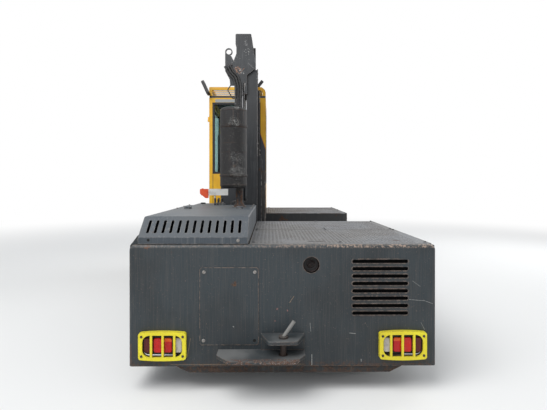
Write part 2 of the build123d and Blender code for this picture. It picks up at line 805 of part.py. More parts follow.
def make_mast_rails():
    rails = []
    for wall, inward in ((well_rear_y, 1), (well_front_y, -1)):
        y = sorted((wall, wall + inward * rail_depth))
        rail = block((rail_left, rail_right), y, rail_z)
        y = sorted((wall + inward * rail_web, wall + inward * (rail_depth + 1)))
        inside = (rail_z[0] + rail_flange, rail_z[1] - rail_flange)
        rails.append(rail - block((rail_left - 1, rail_right - rail_stop), y, inside))
    rack = block(
        (rail_left, rail_right), (well_rear_y + 8, well_rear_y + 36), (rail_z[1], rail_z[1] + rack_height)
    )
    teeth = int((rail_right - rail_left) / rack_pitch)
    cuts = []
    for index in range(teeth):
        x = rail_left + rack_pitch * (index + 0.5)
        cuts.append(
            prism_y(
                [
                    (x - 6, rail_z[1] + 6),
                    (x + 6, rail_z[1] + 6),
                    (x + 12, rail_z[1] + rack_height + 1),
                    (x - 12, rail_z[1] + rack_height + 1),
                ],
                (well_rear_y + 7, well_rear_y + 37),
            )
        )
    rails[0] = rails[0] + (rack - cuts)
    return group(rails)


nodes["mast_rails"] = make_mast_rails()

# Mast
mast_front_x = left_x + 859.0
mast_depth = 125.0
outer_rail_width = 65.0
outer_web = 14.0
outer_flange = 16.0
mast_wall_gap = 86.0
outer_z = (280.0, deck_height + 1770.0)
lift_down = 270.0
inner_rail_width = 65.0
inner_web = 12.0
inner_flange = 12.0
inner_top = outer_z[1] + lift_down + 10.0
crosshead_z = (inner_top, inner_top + 133.0)
crosshead_x = (mast_front_x - 253.0, mast_front_x - 68.0)
inner_bottom = outer_z[0] + lift_down + 60.0
mast_back_x = mast_front_x - mast_depth
outer_y = (well_rear_y + mast_wall_gap, well_front_y - mast_wall_gap)
inner_x_span = (mast_back_x + outer_flange + run_gap, mast_front_x - outer_flange - run_gap)
inner_y = (outer_y[0] + outer_rail_width + run_gap, outer_y[1] - outer_rail_width - run_gap)
mast_roller_radius = (mast_depth - 2 * outer_flange) / 2 - seat_gap
mast_rollers = (60.0, 600.0)  # up from the foot of the inner mast
crossbeam_x = (mast_front_x - 279.0, mast_front_x - 234.0)
crossbeams = ((330.0, 470.0), (1880.0, 2000.0), (outer_z[1] - 130.0, outer_z[1]))
pivot_x = mast_front_x - 59.0
pivot_z = rail_z[0] - 50.0
pivot_radius = 25.0


def channel(x, y_web, inward, width, web, flange, z):
    """Upright channel whose web is at y_web and which opens inward."""
    y = sorted((y_web, y_web + inward * width))
    shape = block(x, y, z)
    y = sorted((y_web + inward * web, y_web + inward * (width + 1)))
    return shape - block((x[0] + flange, x[1] - flange), y, (z[0] - 1, z[1] + 1))


barrel_x = mast_front_x - 179.0
barrel_radius = 36.0
barrel_inset = outer_web + barrel_radius + run_gap
barrel_z = (340.0, 2340.0)
rod_radius = 22.0
bore_radius = rod_radius + seat_gap
barrel_y = (outer_y[0] + barrel_inset, outer_y[1] - barrel_inset)
rod_foot = 860.0
tilt_pin_radius = 14.0
tilt_eye = (mast_front_x - 319.0, pivot_z + 810.0)
tilt_base = (mast_front_x - 724.0, pivot_z + 260.0)
tilt_y = (well_mid_y - tilt_spread, well_mid_y + tilt_spread)
tilt_eye_half = 22.0


def make_outer_mast():
    x = (mast_back_x, mast_front_x)
    shape = channel(x, outer_y[0], 1, outer_rail_width, outer_web, outer_flange, outer_z)
    shape += channel(x, outer_y[1], -1, outer_rail_width, outer_web, outer_flange, outer_z)
    for z in crossbeams:
        shape += block(crossbeam_x, outer_y, z)
        for y in ((outer_y[0], outer_y[0] + outer_web), (outer_y[1] - outer_web, outer_y[1])):
            shape += block((crossbeam_x[0], mast_back_x + 5), y, (z[0] - 20, z[1] - 0))
    for y, inward in ((outer_y[0], 1), (outer_y[1], -1)):
        foot_y = sorted((y, y + inward * outer_rail_width))
        shape += block((crossbeam_x[1] - 5, mast_back_x + 5), foot_y, (outer_z[0] + 10, barrel_z[0]))
    for y in outer_y:
        shape -= rod_y(pivot_x, (y - 30, y + 30), pivot_z, pivot_radius + seat_gap)
    tilt_beam_z = (tilt_eye[1] - 60, tilt_eye[1] + 60)
    shape += block(crossbeam_x, outer_y, tilt_beam_z)
    for y in ((outer_y[0], outer_y[0] + outer_web), (outer_y[1] - outer_web, outer_y[1])):
        shape += block((crossbeam_x[0], mast_back_x + 5), y, tilt_beam_z)
    for y in tilt_y:
        for low in (y - tilt_eye_half - run_gap - 14, y + tilt_eye_half + run_gap):
            ear_x = (tilt_eye[0] - 30, crossbeam_x[0] + 5)
            ear = block(ear_x, (low, low + 14), (tilt_eye[1] - 32, tilt_eye[1] + 32))
            shape += ear
        shape += rod(
            (tilt_eye[0], y - tilt_eye_half - run_gap - 14, tilt_eye[1]),
            (tilt_eye[0], y + tilt_eye_half + run_gap + 14, tilt_eye[1]),
            tilt_pin_radius,
        )
    return shape


nodes["outer_mast"] = make_outer_mast()


def make_lift_barrels():
    barrels = []
    for y in barrel_y:
        barrel = rod((barrel_x, y, barrel_z[0]), (barrel_x, y, barrel_z[1]), barrel_radius)
        barrel += rod((barrel_x, y, barrel_z[1] - 60), (barrel_x, y, barrel_z[1]), barrel_radius + 2)
        barrel -= rod((barrel_x, y, barrel_z[0] + 30), (barrel_x, y, barrel_z[1] + 1), bore_radius)
        barrels.append(barrel)
    return group(barrels)


nodes["lift_barrels"] = make_lift_barrels()
nodes["lift_rods"] = group(
    [rod((barrel_x, y, rod_foot), (barrel_x, y, crosshead_z[0]), rod_radius) for y in barrel_y]
)

# Fork carriage, chains and inner mast
carriage_plate_x = (mast_front_x + 7.0, mast_front_x + 42.0)
carriage_y = (inner_y[0] + inner_rail_width + run_gap, inner_y[1] - inner_rail_width - run_gap)
fork_top = 670.0
carriage_bars = ((fork_top + 290.0, fork_top + 410.0), (fork_top + 830.0, fork_top + 950.0))
bracket_z = (fork_top + 260.0, fork_top + 1160.0)
bracket_thickness = 20.0
roller_radius = (inner_x_span[1] - inner_x_span[0]) / 2 - inner_flange - seat_gap
fork_x = (carriage_plate_x[1] + seat_gap, carriage_plate_x[1] + 50.0)
fork_width = 130.0
fork_spread = well_length / 2 - 303.0
fork_heel_round = 35.0
fork_thickness = 45.0
fork_shank_top = fork_top + 980.0
fork_tip_x = half_width - 30.0
fork_tip_thickness = 14.0
fork_taper_x = 350.0
fork_y = (well_mid_y - fork_spread, well_mid_y + fork_spread)
sheave_radius = 90.0
sheave_x = mast_front_x - 119.0
sheave_z = inner_top - 110.0
sheave_y = (outer_y[0] + 240.0, outer_y[1] - 240.0)
sheave_half = 20.0
chain_thickness = 12.0
chain_half = 14.0
head_plate = 18.0
head_plate_y = (outer_y[0] - 30.0, outer_y[0] - 30.0 + head_plate)
head_outline = (  # back from the mast's front, up from the top of the inner rails
    (244.0, 112.0),
    (63.0, 96.0),
    (16.0, -219.0),
    (16.0, -270.0),
    (118.0, -345.0),
    (118.0, -566.0),
    (213.0, -566.0),
    (222.0, -400.0),
    (276.0, -340.0),
    (276.0, -180.0),
    (244.0, -100.0),
)
head_slot = (158.0, -500.0, 130.0, 22.0)  # back, up, length, width
head_slot_lean = 8.0
arm_eye = (331.0, -77.0)
arm_eye_radius = 43.0
arm_hole_radius = 30.0
arm_outline = (
    (374.0, -77.0),
    (374.0, -300.0),
    (322.0, -400.0),
    (315.0, -470.0),
    (244.0, -470.0),
    (250.0, -380.0),
    (270.0, -330.0),
    (270.0, -190.0),
    (300.0, -130.0),
)
retainer_radius = 6.0
retainer_route = ((310.0, -465.0), (348.0, -520.0), (280.0, -632.0), (258.0, -600.0), (262.0, -465.0))

hose_radius = 13.0
hose_bends = (60.0, 80.0, 130.0, 160.0)
hose_row = (-1, 0, 1)
hose_step = (27.0, 13.0)
hose_y = head_plate_y[0] - hose_radius - 0.5
hose_route = (  # back from the mast's front, up from the top of the inner rails
    (334.0, -268.0),
    (305.0, -322.0),
    (248.0, -380.0),
    (220.0, -480.0),
    (222.0, -640.0),
    (222.0, -900.0),
)
fitting_length = 34.0
fitting_radius = 12.5


def hose_points(index):
    across, up = hose_step[0] * index, hose_step[1] * index
    route = [head_point(*point) for point in hose_route]
    return [Vector(x + across, hose_y, z + up) for x, z in route]


def make_hose(index):
    path = FilletPolyline(*hose_points(index), radius=hose_bends)
    return sweep(Plane(origin=path @ 0, z_dir=path % 0) * Circle(hose_radius), path=path)


def make_hose_fittings():
    """Hose fittings, each in its clamp on the arm."""
    fittings = []
    for index in hose_row:
        start, after = hose_points(index)[:2]
        way = (start - after).normalized()
        fitting = rod(tuple(start + way * seat_gap), tuple(start + way * fitting_length), fitting_radius)
        clamp_z = (start.Z + 18, start.Z + 30)
        clamp = block((start.X - 16, start.X + 16), (hose_y - 4, head_plate_y[0] + 1), clamp_z)
        fittings.append(fitting + clamp)
    return sum(fittings[1:], fittings[0])


def head_point(back, up):
    return (mast_front_x - back, inner_top + up)


def make_mast_head():
    """Side plate of the crosshead with its slot, the eyed hose arm and the bent hose retainer."""
    plate = prism_y([head_point(*point) for point in head_outline], head_plate_y)
    back, up, length, width = head_slot
    x, z = head_point(back, up)
    face = Plane(origin=(x, head_plate_y[0] - 5, z), x_dir=(1, 0, 0), z_dir=(0, -1, 0))
    slot = SlotOverall(length, width, rotation=90 - head_slot_lean)
    plate -= extrude(face * slot, amount=-head_plate - 10)
    arm = prism_y([head_point(*point) for point in arm_outline], head_plate_y)
    x, z = head_point(*arm_eye)
    arm += rod_y(x, (head_plate_y[0], head_plate_y[1]), z, arm_eye_radius)
    arm -= rod_y(x, (head_plate_y[0] - 5, head_plate_y[1] + 5), z, arm_hole_radius)
    middle = sum(head_plate_y) / 2
    points = [(x, middle, z) for x, z in (head_point(*point) for point in retainer_route)]
    path = FilletPolyline(*points, radius=14)
    wire = sweep(Plane(origin=path @ 0, z_dir=path % 0) * Circle(retainer_radius), path=path)
    return plate + arm + wire + make_hose_fittings()


def make_inner_mast():
    z = (inner_bottom, inner_top)
    shape = channel(inner_x_span, inner_y[0], 1, inner_rail_width, inner_web, inner_flange, z)
    shape += channel(inner_x_span, inner_y[1], -1, inner_rail_width, inner_web, inner_flange, z)
    head_y = (outer_y[0] - 30, outer_y[1])
    head = block(crosshead_x, head_y, crosshead_z)
    shape += fillet(head.edges().filter_by(Axis.Y), 14)
    tie_x = (inner_x_span[0] - 15, inner_x_span[0] + 2)
    shape += block(tie_x, inner_y, (inner_bottom, inner_bottom + 110))
    roller_x = sum(inner_x_span) / 2
    for web, inward in ((inner_y[0], 1), (inner_y[1], -1)):
        end = web - inward * (outer_rail_width - outer_web)
        for rise in mast_rollers:
            z_roller = inner_bottom + rise
            shape += rod_y(roller_x, (web + inward, end), z_roller, mast_roller_radius)
    for y in sheave_y:
        for low in (y - sheave_half - 4 - 10, y + sheave_half + 4):
            cheek_z = (sheave_z - 30, crosshead_z[0] + 5)
            shape += block((sheave_x - 30, sheave_x + 30), (low, low + 10), cheek_z)
    return shape + make_mast_head()


nodes["inner_mast"] = make_inner_mast()

chain_anchor_z = crossbeams[1][1] + 10.0


def make_lift_chains():
    """Each chain with its sheave: back strand, half turn and front strand."""
    solids = []
    for y in sheave_y:
        wheel = rod_y(sheave_x, (y - sheave_half, y + sheave_half), sheave_z, sheave_radius - 12)
        for low in (y - sheave_half, y + sheave_half - 5):
            wheel += rod_y(sheave_x, (low, low + 5), sheave_z, sheave_radius - 1)
        wheel += rod_y(sheave_x, (y - sheave_half - 4, y + sheave_half + 4), sheave_z, 20)
        band = rod_y(sheave_x, (y - chain_half, y + chain_half), sheave_z, sheave_radius)
        band -= block((sheave_x - 200, sheave_x + 200), (y - 50, y + 50), (sheave_z - 300, sheave_z))
        wheel += band
        back, front = sheave_x - sheave_radius, sheave_x + sheave_radius - chain_thickness
        for x, low in ((back, chain_anchor_z), (front, carriage_bars[1][0] + 50)):
            wheel += block((x, x + chain_thickness), (y - chain_half, y + chain_half), (low, sheave_z))
        solids.append(wheel)
    return group(solids)


nodes["lift_chains"] = make_lift_chains()

# Three hoses side by side from their fittings on the arm, down behind the silencer
nodes["hose_loop"] = group([make_hose(index) for index in hose_row])


def make_fork_carriage():
    low_bar, high_bar = [block(carriage_plate_x, carriage_y, z) for z in carriage_bars]
    shape = low_bar + high_bar
    for edge, inward in ((carriage_y[0], 1), (carriage_y[1], -1)):
        y = sorted((edge, edge + inward * bracket_thickness))
        x = (inner_x_span[0] + inner_flange, carriage_plate_x[1])
        shape += block(x, y, bracket_z)
        roller_x = sum(inner_x_span) / 2
        reach = edge - inward * (inner_rail_width - inner_web)
        for z in (bracket_z[0] + 40, bracket_z[1] - 40):
            shape += rod_y(roller_x, (edge + inward, reach), z, roller_radius)
    for y in sheave_y:
        for low in (y - chain_half - run_gap - 10, y + chain_half + run_gap):
            x = (sheave_x + sheave_radius - chain_thickness - 4, carriage_plate_x[0] + 2)
            shape += block(x, (low, low + 10), (carriage_bars[1][0] + 10, carriage_bars[1][1] - 10))
    return shape


nodes["fork_carriage"] = make_fork_carriage()


def make_fork(y):
    half = fork_width / 2
    floor = fork_top - fork_thickness
    x0, x1 = fork_x
    points = [
        (x0, floor),
        (x0, fork_shank_top),
        (x1, fork_shank_top),
        (x1, fork_top),
        (fork_tip_x, fork_top),
        (fork_tip_x, fork_top - fork_tip_thickness),
        (fork_taper_x, floor),
    ]
    shape = prism_y(points, (y - half, y + half))
    tip = Pos(fork_tip_x - 90, y, floor) * Cylinder(half + 32, 200)
    end_x, end_y = (fork_tip_x - 90, fork_tip_x + 5), (y - half - 5, y + half + 5)
    shape -= block(end_x, end_y, (floor - 5, fork_top + 5)) - tip
    heel = shape.edges().filter_by(Axis.Y).filter_by(lambda e: abs(e.center().X - x0) < 1)
    shape = fillet(heel.filter_by(lambda e: abs(e.center().Z - floor) < 1), fork_heel_round)
    hook_x = (carriage_plate_x[0] + 6, x0 + 1)
    bar_top = carriage_bars[1][1]
    hook = block(hook_x, (y - half + 12, y + half - 12), (bar_top + seat_gap, bar_top + 24))
    return shape + hook


nodes["forks"] = group([make_fork(y) for y in fork_y])

# Mast trolley
trolley_plate = 20.0
trolley_x = (left_x + 40.0, left_x + 910.0)
trolley_z = (rail_z[0] - 110.0, rail_z[0] + 250.0)
trolley_gap = 6.0
trolley_rollers = (left_x + 120.0, left_x + 480.0, left_x + 810.0)
trolley_roller_radius = (rail_z[1] - rail_z[0]) / 2 - rail_flange - seat_gap
trolley_y = (well_rear_y + rail_depth + trolley_gap, well_front_y - rail_depth - trolley_gap)
trolley_beams = (
    ((left_x + 50.0, left_x + 170.0), (rail_z[0] - 40.0, rail_z[0] + 130.0)),
    ((left_x + 440.0, left_x + 500.0), (rail_z[0] - 70.0, rail_z[0] + 50.0)),
)


def make_mast_trolley():
    shape = None
    for edge, inward in ((trolley_y[0], 1), (trolley_y[1], -1)):
        y = sorted((edge, edge + inward * trolley_plate))
        low, high = trolley_z
        points = [
            (trolley_x[0], low + 90),
            (trolley_x[0] + 60, low),
            (trolley_x[1] - 20, low),
            (trolley_x[1], low + 20),
            (trolley_x[1], high - 220),
            (trolley_x[1] - 40, high - 180),
            (left_x + 500, high - 180),
            (left_x + 280, high),
            (trolley_x[0], high),
        ]
        plate = prism_y(points, y)
        shape = plate if shape is None else shape + plate
        for x in trolley_rollers:
            z = sum(rail_z) / 2
            shape += rod((x, edge, z), (x, edge - inward * (rail_depth - rail_web), z), trolley_roller_radius)
        pin_end = outer_y[0] + outer_web if inward > 0 else outer_y[1] - outer_web
        shape += rod_y(pivot_x, (edge, pin_end), pivot_z, pivot_radius)
    for x, z in trolley_beams:
        shape += block(x, (trolley_y[0] + 1, trolley_y[1] - 1), z)
    for y in tilt_y:
        for low in (y - tilt_eye_half - run_gap - 14, y + tilt_eye_half + run_gap):
            ear_z = (trolley_beams[0][1][1] - 10, tilt_base[1] + 32)
            ear = block((tilt_base[0] - 35, tilt_base[0] + 35), (low, low + 14), ear_z)
            shape += ear
        shape += rod(
            (tilt_base[0], y - tilt_eye_half - run_gap - 14, tilt_base[1]),
            (tilt_base[0], y + tilt_eye_half + run_gap + 14, tilt_base[1]),
            tilt_pin_radius,
        )
    return shape


nodes["mast_trolley"] = make_mast_trolley()
motor_x = left_x + 200.0
motor_top = rail_z[0] + 385.0


def make_reach_motor():
    x = (motor_x - 60, motor_x + 60)
    shape = block(x, (well_rear_y + run_gap, trolley_y[0]), (rail_z[1] + rack_height + run_gap, motor_top))
    shape += block(x, (trolley_y[0], trolley_y[0] + trolley_plate), (trolley_z[1], motor_top))
    middle = (trolley_z[1] + motor_top) / 2
    start = trolley_y[0] + trolley_plate - 2
    return shape + rod_y(motor_x, (start, start + 190), middle, 55)


nodes["reach_motor"] = make_reach_motor()

# Tilt cylinders
tilt_barrel_radius = 38.0
tilt_bore = 20.0
tilt_line = Vector(tilt_eye[0] - tilt_base[0], 0, tilt_eye[1] - tilt_base[1])
tilt_length = tilt_line.length
tilt_way = tilt_line.normalized()


def along(y, distance):
    return (tilt_base[0] + tilt_way.X * distance, y, tilt_base[1] + tilt_way.Z * distance)


tilt_barrel_end = tilt_length - 170.0
tilt_neck = 62.0


def make_tilt_barrels():
    barrels = []
    for y in tilt_y:
        eye = rod_y(tilt_base[0], (y - tilt_eye_half, y + tilt_eye_half), tilt_base[1], 32)
        shape = rod(along(y, tilt_neck), along(y, tilt_barrel_end), tilt_barrel_radius)
        shape += rod(along(y, 0), along(y, tilt_neck + 5), tilt_bore)
        shape += eye
        shape -= rod_y(tilt_base[0], (y - 60, y + 60), tilt_base[1], tilt_pin_radius + seat_gap)
        shape -= rod(along(y, 90), along(y, tilt_barrel_end + 5), tilt_bore + seat_gap)
        barrels.append(shape)
    return group(barrels)


nodes["tilt_barrels"] = make_tilt_barrels()


def make_tilt_rods():
    rods = []
    for y in tilt_y:
        shape = rod(along(y, 200), along(y, tilt_length - 20), tilt_bore)
        shape += rod_y(tilt_eye[0], (y - tilt_eye_half, y + tilt_eye_half), tilt_eye[1], 30)
        shape -= rod_y(tilt_eye[0], (y - 60, y + 60), tilt_eye[1], tilt_pin_radius + run_gap)
        rods.append(shape)
    return group(rods)


nodes["tilt_rods"] = make_tilt_rods()

# Cab, standing on the front left of the chassis
cab_x = (left_x + 110.0, left_x + 945.0)
cab_stations = (body_length - 1350.0, body_length - skin - fold_radius)
cab_floor_top = deck_height + 32.0
cab_wall_top = deck_height + 1700.0
cab_roof_top = cab_wall_top + 30.0
guard_top = cab_roof_top + 130.0
window_top = cab_wall_top - 70.0
rear_window = ((cab_x[0] + 50.0, cab_x[1] - 80.0), (cab_floor_top + 548.0, window_top))
side_window_z = (cab_floor_top + 408.0, window_top)
door_stations = (body_length - 1240.0, body_length - 120.0)
door_z = (cab_floor_top + 18.0, cab_wall_top - 40.0)
door_gap = 6.0
cab_y = (rear_station(cab_stations[0]), rear_station(cab_stations[1]))
wall_y = (cab_y[0] + cab_panel, cab_y[1] - cab_panel)
window_side_y = (wall_y[0] + 90, wall_y[1] - 90)
wall_z = (cab_floor_top, cab_wall_top)
front_window_z = (cab_floor_top + 168.0, window_top)


def make_cab_floor():
    floor_y = (well_front_y, front_y - tail_depth - panel_gap)
    shape = block((-inner_x, front_deck_left_x - panel_gap), floor_y, (deck_under, deck_height))
    shape += block((cab_x[0], cab_x[1]), cab_y, (deck_height - 1, cab_floor_top))
    return shape


nodes["cab_floor"] = make_cab_floor()
nodes["cab_rear_wall"] = block(cab_x, (cab_y[0], wall_y[0]), wall_z) - block(
    rear_window[0], (cab_y[0] - 5, wall_y[0] + 5), rear_window[1]
)
nodes["cab_front_wall"] = block(cab_x, (wall_y[1], cab_y[1]), wall_z) - block(
    rear_window[0], (wall_y[1] - 5, cab_y[1] + 5), front_window_z
)
right_wall_x = (cab_x[1] - cab_panel, cab_x[1])
nodes["cab_right_wall"] = block(right_wall_x, wall_y, wall_z) - block(
    (right_wall_x[0] - 5, right_wall_x[1] + 5), window_side_y, side_window_z
)
left_wall_x = (cab_x[0], cab_x[0] + cab_panel)
door_y = (rear_station(door_stations[0]), rear_station(door_stations[1]))
hinge_x = cab_x[0] - 22.0
hinge_y = door_y[0] - 4.0
hinge_heights = (door_z[0] + 240.0, door_z[1] - 270.0)
hinge_radius = 8.0


def make_cab_left_frame():
    shape = block(left_wall_x, wall_y, wall_z)
    shape -= block((left_wall_x[0] - 5, left_wall_x[1] + 5), door_y, door_z)
    for z in hinge_heights:
        shape += block((hinge_x - 12, left_wall_x[0]), (hinge_y - 30, hinge_y + 12), (z - 30, z))
        shape += rod((hinge_x, hinge_y, z - 5), (hinge_x, hinge_y, z + 45), hinge_radius)
    return shape


nodes["cab_left_frame"] = make_cab_left_frame()
door_leaf_y = (door_y[0] + door_gap, door_y[1] - door_gap)
door_leaf_z = (door_z[0] + door_gap, door_z[1] - door_gap)
door_leaf_x = (left_wall_x[0] + 2, left_wall_x[1] - 2)
door_window_y = (door_leaf_y[0] + 70, door_leaf_y[1] - 70)
door_window_z = (door_z[0] + 450.0, door_z[1] - 70.0)


def make_cab_door():
    shape = block(door_leaf_x, door_leaf_y, door_leaf_z)
    shape -= block((door_leaf_x[0] - 5, door_leaf_x[1] + 5), door_window_y, door_window_z)
    for z in hinge_heights:
        strap = rod((hinge_x, hinge_y, z + 1), (hinge_x, hinge_y, z + 40), 13)
        strap += block((hinge_x - 12, hinge_x + 12), (hinge_y, door_leaf_y[0] + 60), (z + 1, z + 40))
        strap_y = (door_leaf_y[0], door_leaf_y[0] + 60)
        strap += block((hinge_x + 10, door_leaf_x[0] + 1), strap_y, (z + 1, z + 40))
        shape += strap - rod((hinge_x, hinge_y, z - 1), (hinge_x, hinge_y, z + 60), hinge_radius + seat_gap)
    handle_y = door_leaf_y[1] - 60
    handle_z = (door_z[0] + 310, door_z[0] + 330)
    shape += block((door_leaf_x[0] - 30, door_leaf_x[0] + 1), (handle_y, handle_y + 20), handle_z)
    shape += block((door_leaf_x[0] - 30, door_leaf_x[0] - 14), (handle_y - 110, handle_y + 20), handle_z)
    return shape


nodes["cab_door"] = make_cab_door()


def pane(x, y, z):
    """Glass filling an opening, at the middle of its thin way."""
    spans = [list(x), list(y), list(z)]
    thin = min(range(3), key=lambda axis: spans[axis][1] - spans[axis][0])
    middle = sum(spans[thin]) / 2
    spans[thin] = [middle - glass / 2, middle + glass / 2]
    return block(*spans)


nodes["door_glass"] = pane(door_leaf_x, door_window_y, door_window_z)
nodes["cab_windows"] = group(
    [
        pane(rear_window[0], (cab_y[0], wall_y[0]), rear_window[1]),
        pane(rear_window[0], (wall_y[1], cab_y[1]), front_window_z),
        pane(right_wall_x, window_side_y, side_window_z),
    ]
)
roof = block(cab_x, cab_y, (cab_wall_top, cab_roof_top))
nodes["cab_roof"] = fillet(roof.edges().filter_by(Axis.Z), 30)
guard_rail = 45.0
guard_rail_height = 60.0
guard_corner_right = 90.0
guard_corner_left = 15.0
guard_slats = 10
slat_width = 40.0
slat_thickness = 12.0


def guard_hoop(y):
    """End hoop of the guard, with a large round corner on its right."""
    outer = block(cab_x, y, (cab_roof_top, guard_top))
    inner_z = (cab_roof_top - 1, guard_top - guard_rail)
    inner = block((cab_x[0] + guard_rail, cab_x[1] - guard_rail), y, inner_z)

    def rounded(shape, high, left, right):
        top = shape.edges().filter_by(Axis.Y).filter_by(lambda e: e.center().Z > high - 1)
        shape = fillet(top.sort_by(Axis.X)[0], left)
        top = shape.edges().filter_by(Axis.Y).filter_by(lambda e: e.center().Z > high - 1)
        return fillet(top.sort_by(Axis.X)[-1], right)

    outer = rounded(outer, guard_top, guard_corner_left, guard_corner_right)
    return outer - rounded(inner, guard_top - guard_rail, 8, guard_corner_right - guard_rail)


def make_roof_guard():
    shape = guard_hoop((cab_y[0], cab_y[0] + slat_width)) + guard_hoop((cab_y[1] - slat_width, cab_y[1]))
    rail_x = (cab_x[1] - guard_corner_right - 10, cab_x[1] - guard_corner_right + guard_rail - 10)
    shape += block((cab_x[0], cab_x[0] + guard_rail), cab_y, (guard_top - guard_rail_height, guard_top - 15))
    shape += block(rail_x, cab_y, (guard_top - guard_rail, guard_top - 1))
    for index in range(1, guard_slats - 1):
        start = cab_y[0] + index * (cab_y[1] - cab_y[0] - slat_width) / (guard_slats - 1)
        slat_z = (guard_top - 30 - slat_thickness, guard_top - 30)
        shape += block((cab_x[0] + 10, rail_x[1] - 10), (start, start + slat_width), slat_z)
    return shape


nodes["roof_guard"] = make_roof_guard()

# Inside the cab
seat_mid_x = left_x + 440.0
seat_y = rear_station(body_length - 940.0)
seat_width = 500.0
cushion_z = (cab_floor_top + 358.0, cab_floor_top + 478.0)
back_z = (cushion_z[0] + 50.0, cushion_z[0] + 840.0)
dash_top = cab_floor_top + 158.0
console_top = cab_floor_top + 508.0
lever_top = console_top + 130.0
steering_radius = 175.0
nodes["seat_base"] = block(
    (seat_mid_x - 170, seat_mid_x + 170), (seat_y - 150, seat_y + 200), (cab_floor_top, cushion_z[0])
)


def make_cab_seat():
    cushion = block(
        (seat_mid_x - seat_width / 2, seat_mid_x + seat_width / 2), (seat_y - 200, seat_y + 270), cushion_z
    )
    back = block(
        (seat_mid_x - seat_width / 2, seat_mid_x + seat_width / 2), (seat_y - 290, seat_y - 190), back_z
    )
    return fillet(cushion.edges(), 30) + fillet(back.edges(), 30)


nodes["cab_seat"] = make_cab_seat()


def make_cab_controls():
    dash_y = (wall_y[1] - 190, wall_y[1])
    shape = block((cab_x[0] + cab_panel, right_wall_x[0]), dash_y, (cab_floor_top, dash_top))
    console_x = (right_wall_x[0] - 150, right_wall_x[0])
    shape += block(console_x, (seat_y - 150, dash_y[0] + 1), (cab_floor_top, console_top))
    column_top = (seat_mid_x, dash_y[0] - 130, console_top + 100)
    shape += rod((seat_mid_x, dash_y[0] + 60, dash_top - 100), column_top, 35)
    wheel = Plane(origin=column_top, z_dir=(0, -0.35, 1))
    section = Plane.XZ * Pos(steering_radius, 0) * RegularPolygon(14, 6)
    shape += wheel * revolve(section, Axis.Z)
    for angle in (90, 210, 330):
        turn = math.radians(angle)
        tip = wheel * Pos(steering_radius * math.cos(turn), steering_radius * math.sin(turn), 0)
        shape += rod(column_top, tuple(tip.position), 9)
    for index in range(4):
        y = seat_y + 60 + index * 70
        shape += rod((right_wall_x[0] - 70, y, console_top - 10), (right_wall_x[0] - 80, y, lever_top), 7)
        shape += Pos(right_wall_x[0] - 80, y, lever_top + 5) * Sphere(18)
    return shape


nodes["cab_controls"] = make_cab_controls()

# Mirror and work lamp on the roof guard's rear corners
mirror_top = (left_x + 27.0, guard_top + 62.0)
mirror_foot = (left_x + 114.0, guard_top - 128.0)
mirror_thickness = 44.0
mirror_width = 150.0
lamp_foot = (cab_x[1] - 108.0, guard_top + seat_gap)
lamp_tip = (cab_x[1] - 48.0, guard_top + 96.0)
lamp_radius = 24.0


def make_mirror_and_lamps():
    """Upright mirror housing that leans out, and a small slanted work lamp."""
    y = cab_y[0]
    lean = Vector(mirror_foot[0] - mirror_top[0], mirror_foot[1] - mirror_top[1])
    (foot_x, foot_z), (top_x, top_z) = mirror_foot, mirror_top
    middle = ((foot_x + top_x) / 2, y - mirror_width / 2 - 2, (foot_z + top_z) / 2)
    turn = math.degrees(math.atan2(lean.X, -lean.Y))
    housing = Box(mirror_thickness, mirror_width, lean.length)
    housing = fillet(housing.edges().filter_by(Axis.X), 22)
    housing = fillet(housing.faces().sort_by(Axis.X)[0].edges(), 12)
    mirror = Pos(*middle) * Rot(0, -turn, 0) * housing
    arm_x, arm_z = mirror_foot[0] + 8, mirror_foot[1] + 25
    mirror += rod_y(arm_x, (y - 60, y - seat_gap), arm_z, 9)
    lamp = rod((lamp_foot[0], y + 22, lamp_foot[1] + 20), (lamp_tip[0], y + 22, lamp_tip[1]), lamp_radius)
    lamp += rod((lamp_foot[0], y + 22, lamp_foot[1]), (lamp_foot[0], y + 22, lamp_foot[1] + 40), 9)
    return group([mirror, lamp])


nodes["mirror_and_lamps"] = make_mirror_and_lamps()

os.makedirs("parts", exist_ok=True)
for name, shape in nodes.items():
    export_step(shape, "parts/" + name + ".step")
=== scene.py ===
from math import cos, pi, radians, sin
import bpy
from mathutils import Matrix, Vector


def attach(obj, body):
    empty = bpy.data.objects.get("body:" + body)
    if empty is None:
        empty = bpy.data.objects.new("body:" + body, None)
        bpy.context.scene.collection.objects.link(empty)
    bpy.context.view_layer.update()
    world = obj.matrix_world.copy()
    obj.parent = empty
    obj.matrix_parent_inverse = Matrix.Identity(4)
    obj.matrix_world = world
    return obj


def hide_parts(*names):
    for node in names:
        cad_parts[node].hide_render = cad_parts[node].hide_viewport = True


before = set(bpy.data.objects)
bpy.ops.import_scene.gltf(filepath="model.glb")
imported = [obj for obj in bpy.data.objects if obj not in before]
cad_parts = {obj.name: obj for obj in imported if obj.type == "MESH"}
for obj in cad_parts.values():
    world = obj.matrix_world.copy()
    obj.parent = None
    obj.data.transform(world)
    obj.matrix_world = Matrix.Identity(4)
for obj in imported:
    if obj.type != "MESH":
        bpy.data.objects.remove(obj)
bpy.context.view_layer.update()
print("frame loaded")

rearFace = -2.16  # the tail panel's outer face
deckTop, hoodTop = 1.06, 1.25
core = 0.0005  # radius where a turned piece's profile closes
wheelOut, wheelHigh = 0.89, 0.42  # middle of each wheel
boltSize = 0.009
shift = Matrix.Translation


# Picking, settling and joining objects

def editMode():
    bpy.ops.object.mode_set(mode="EDIT")


def objectMode():
    bpy.ops.object.mode_set(mode="OBJECT")


def pickMesh(action="SELECT"):
    bpy.ops.mesh.select_all(action=action)


def clearSelection():
    if bpy.context.object and bpy.context.object.mode != "OBJECT":
        objectMode()
    bpy.ops.object.select_all(action="DESELECT")


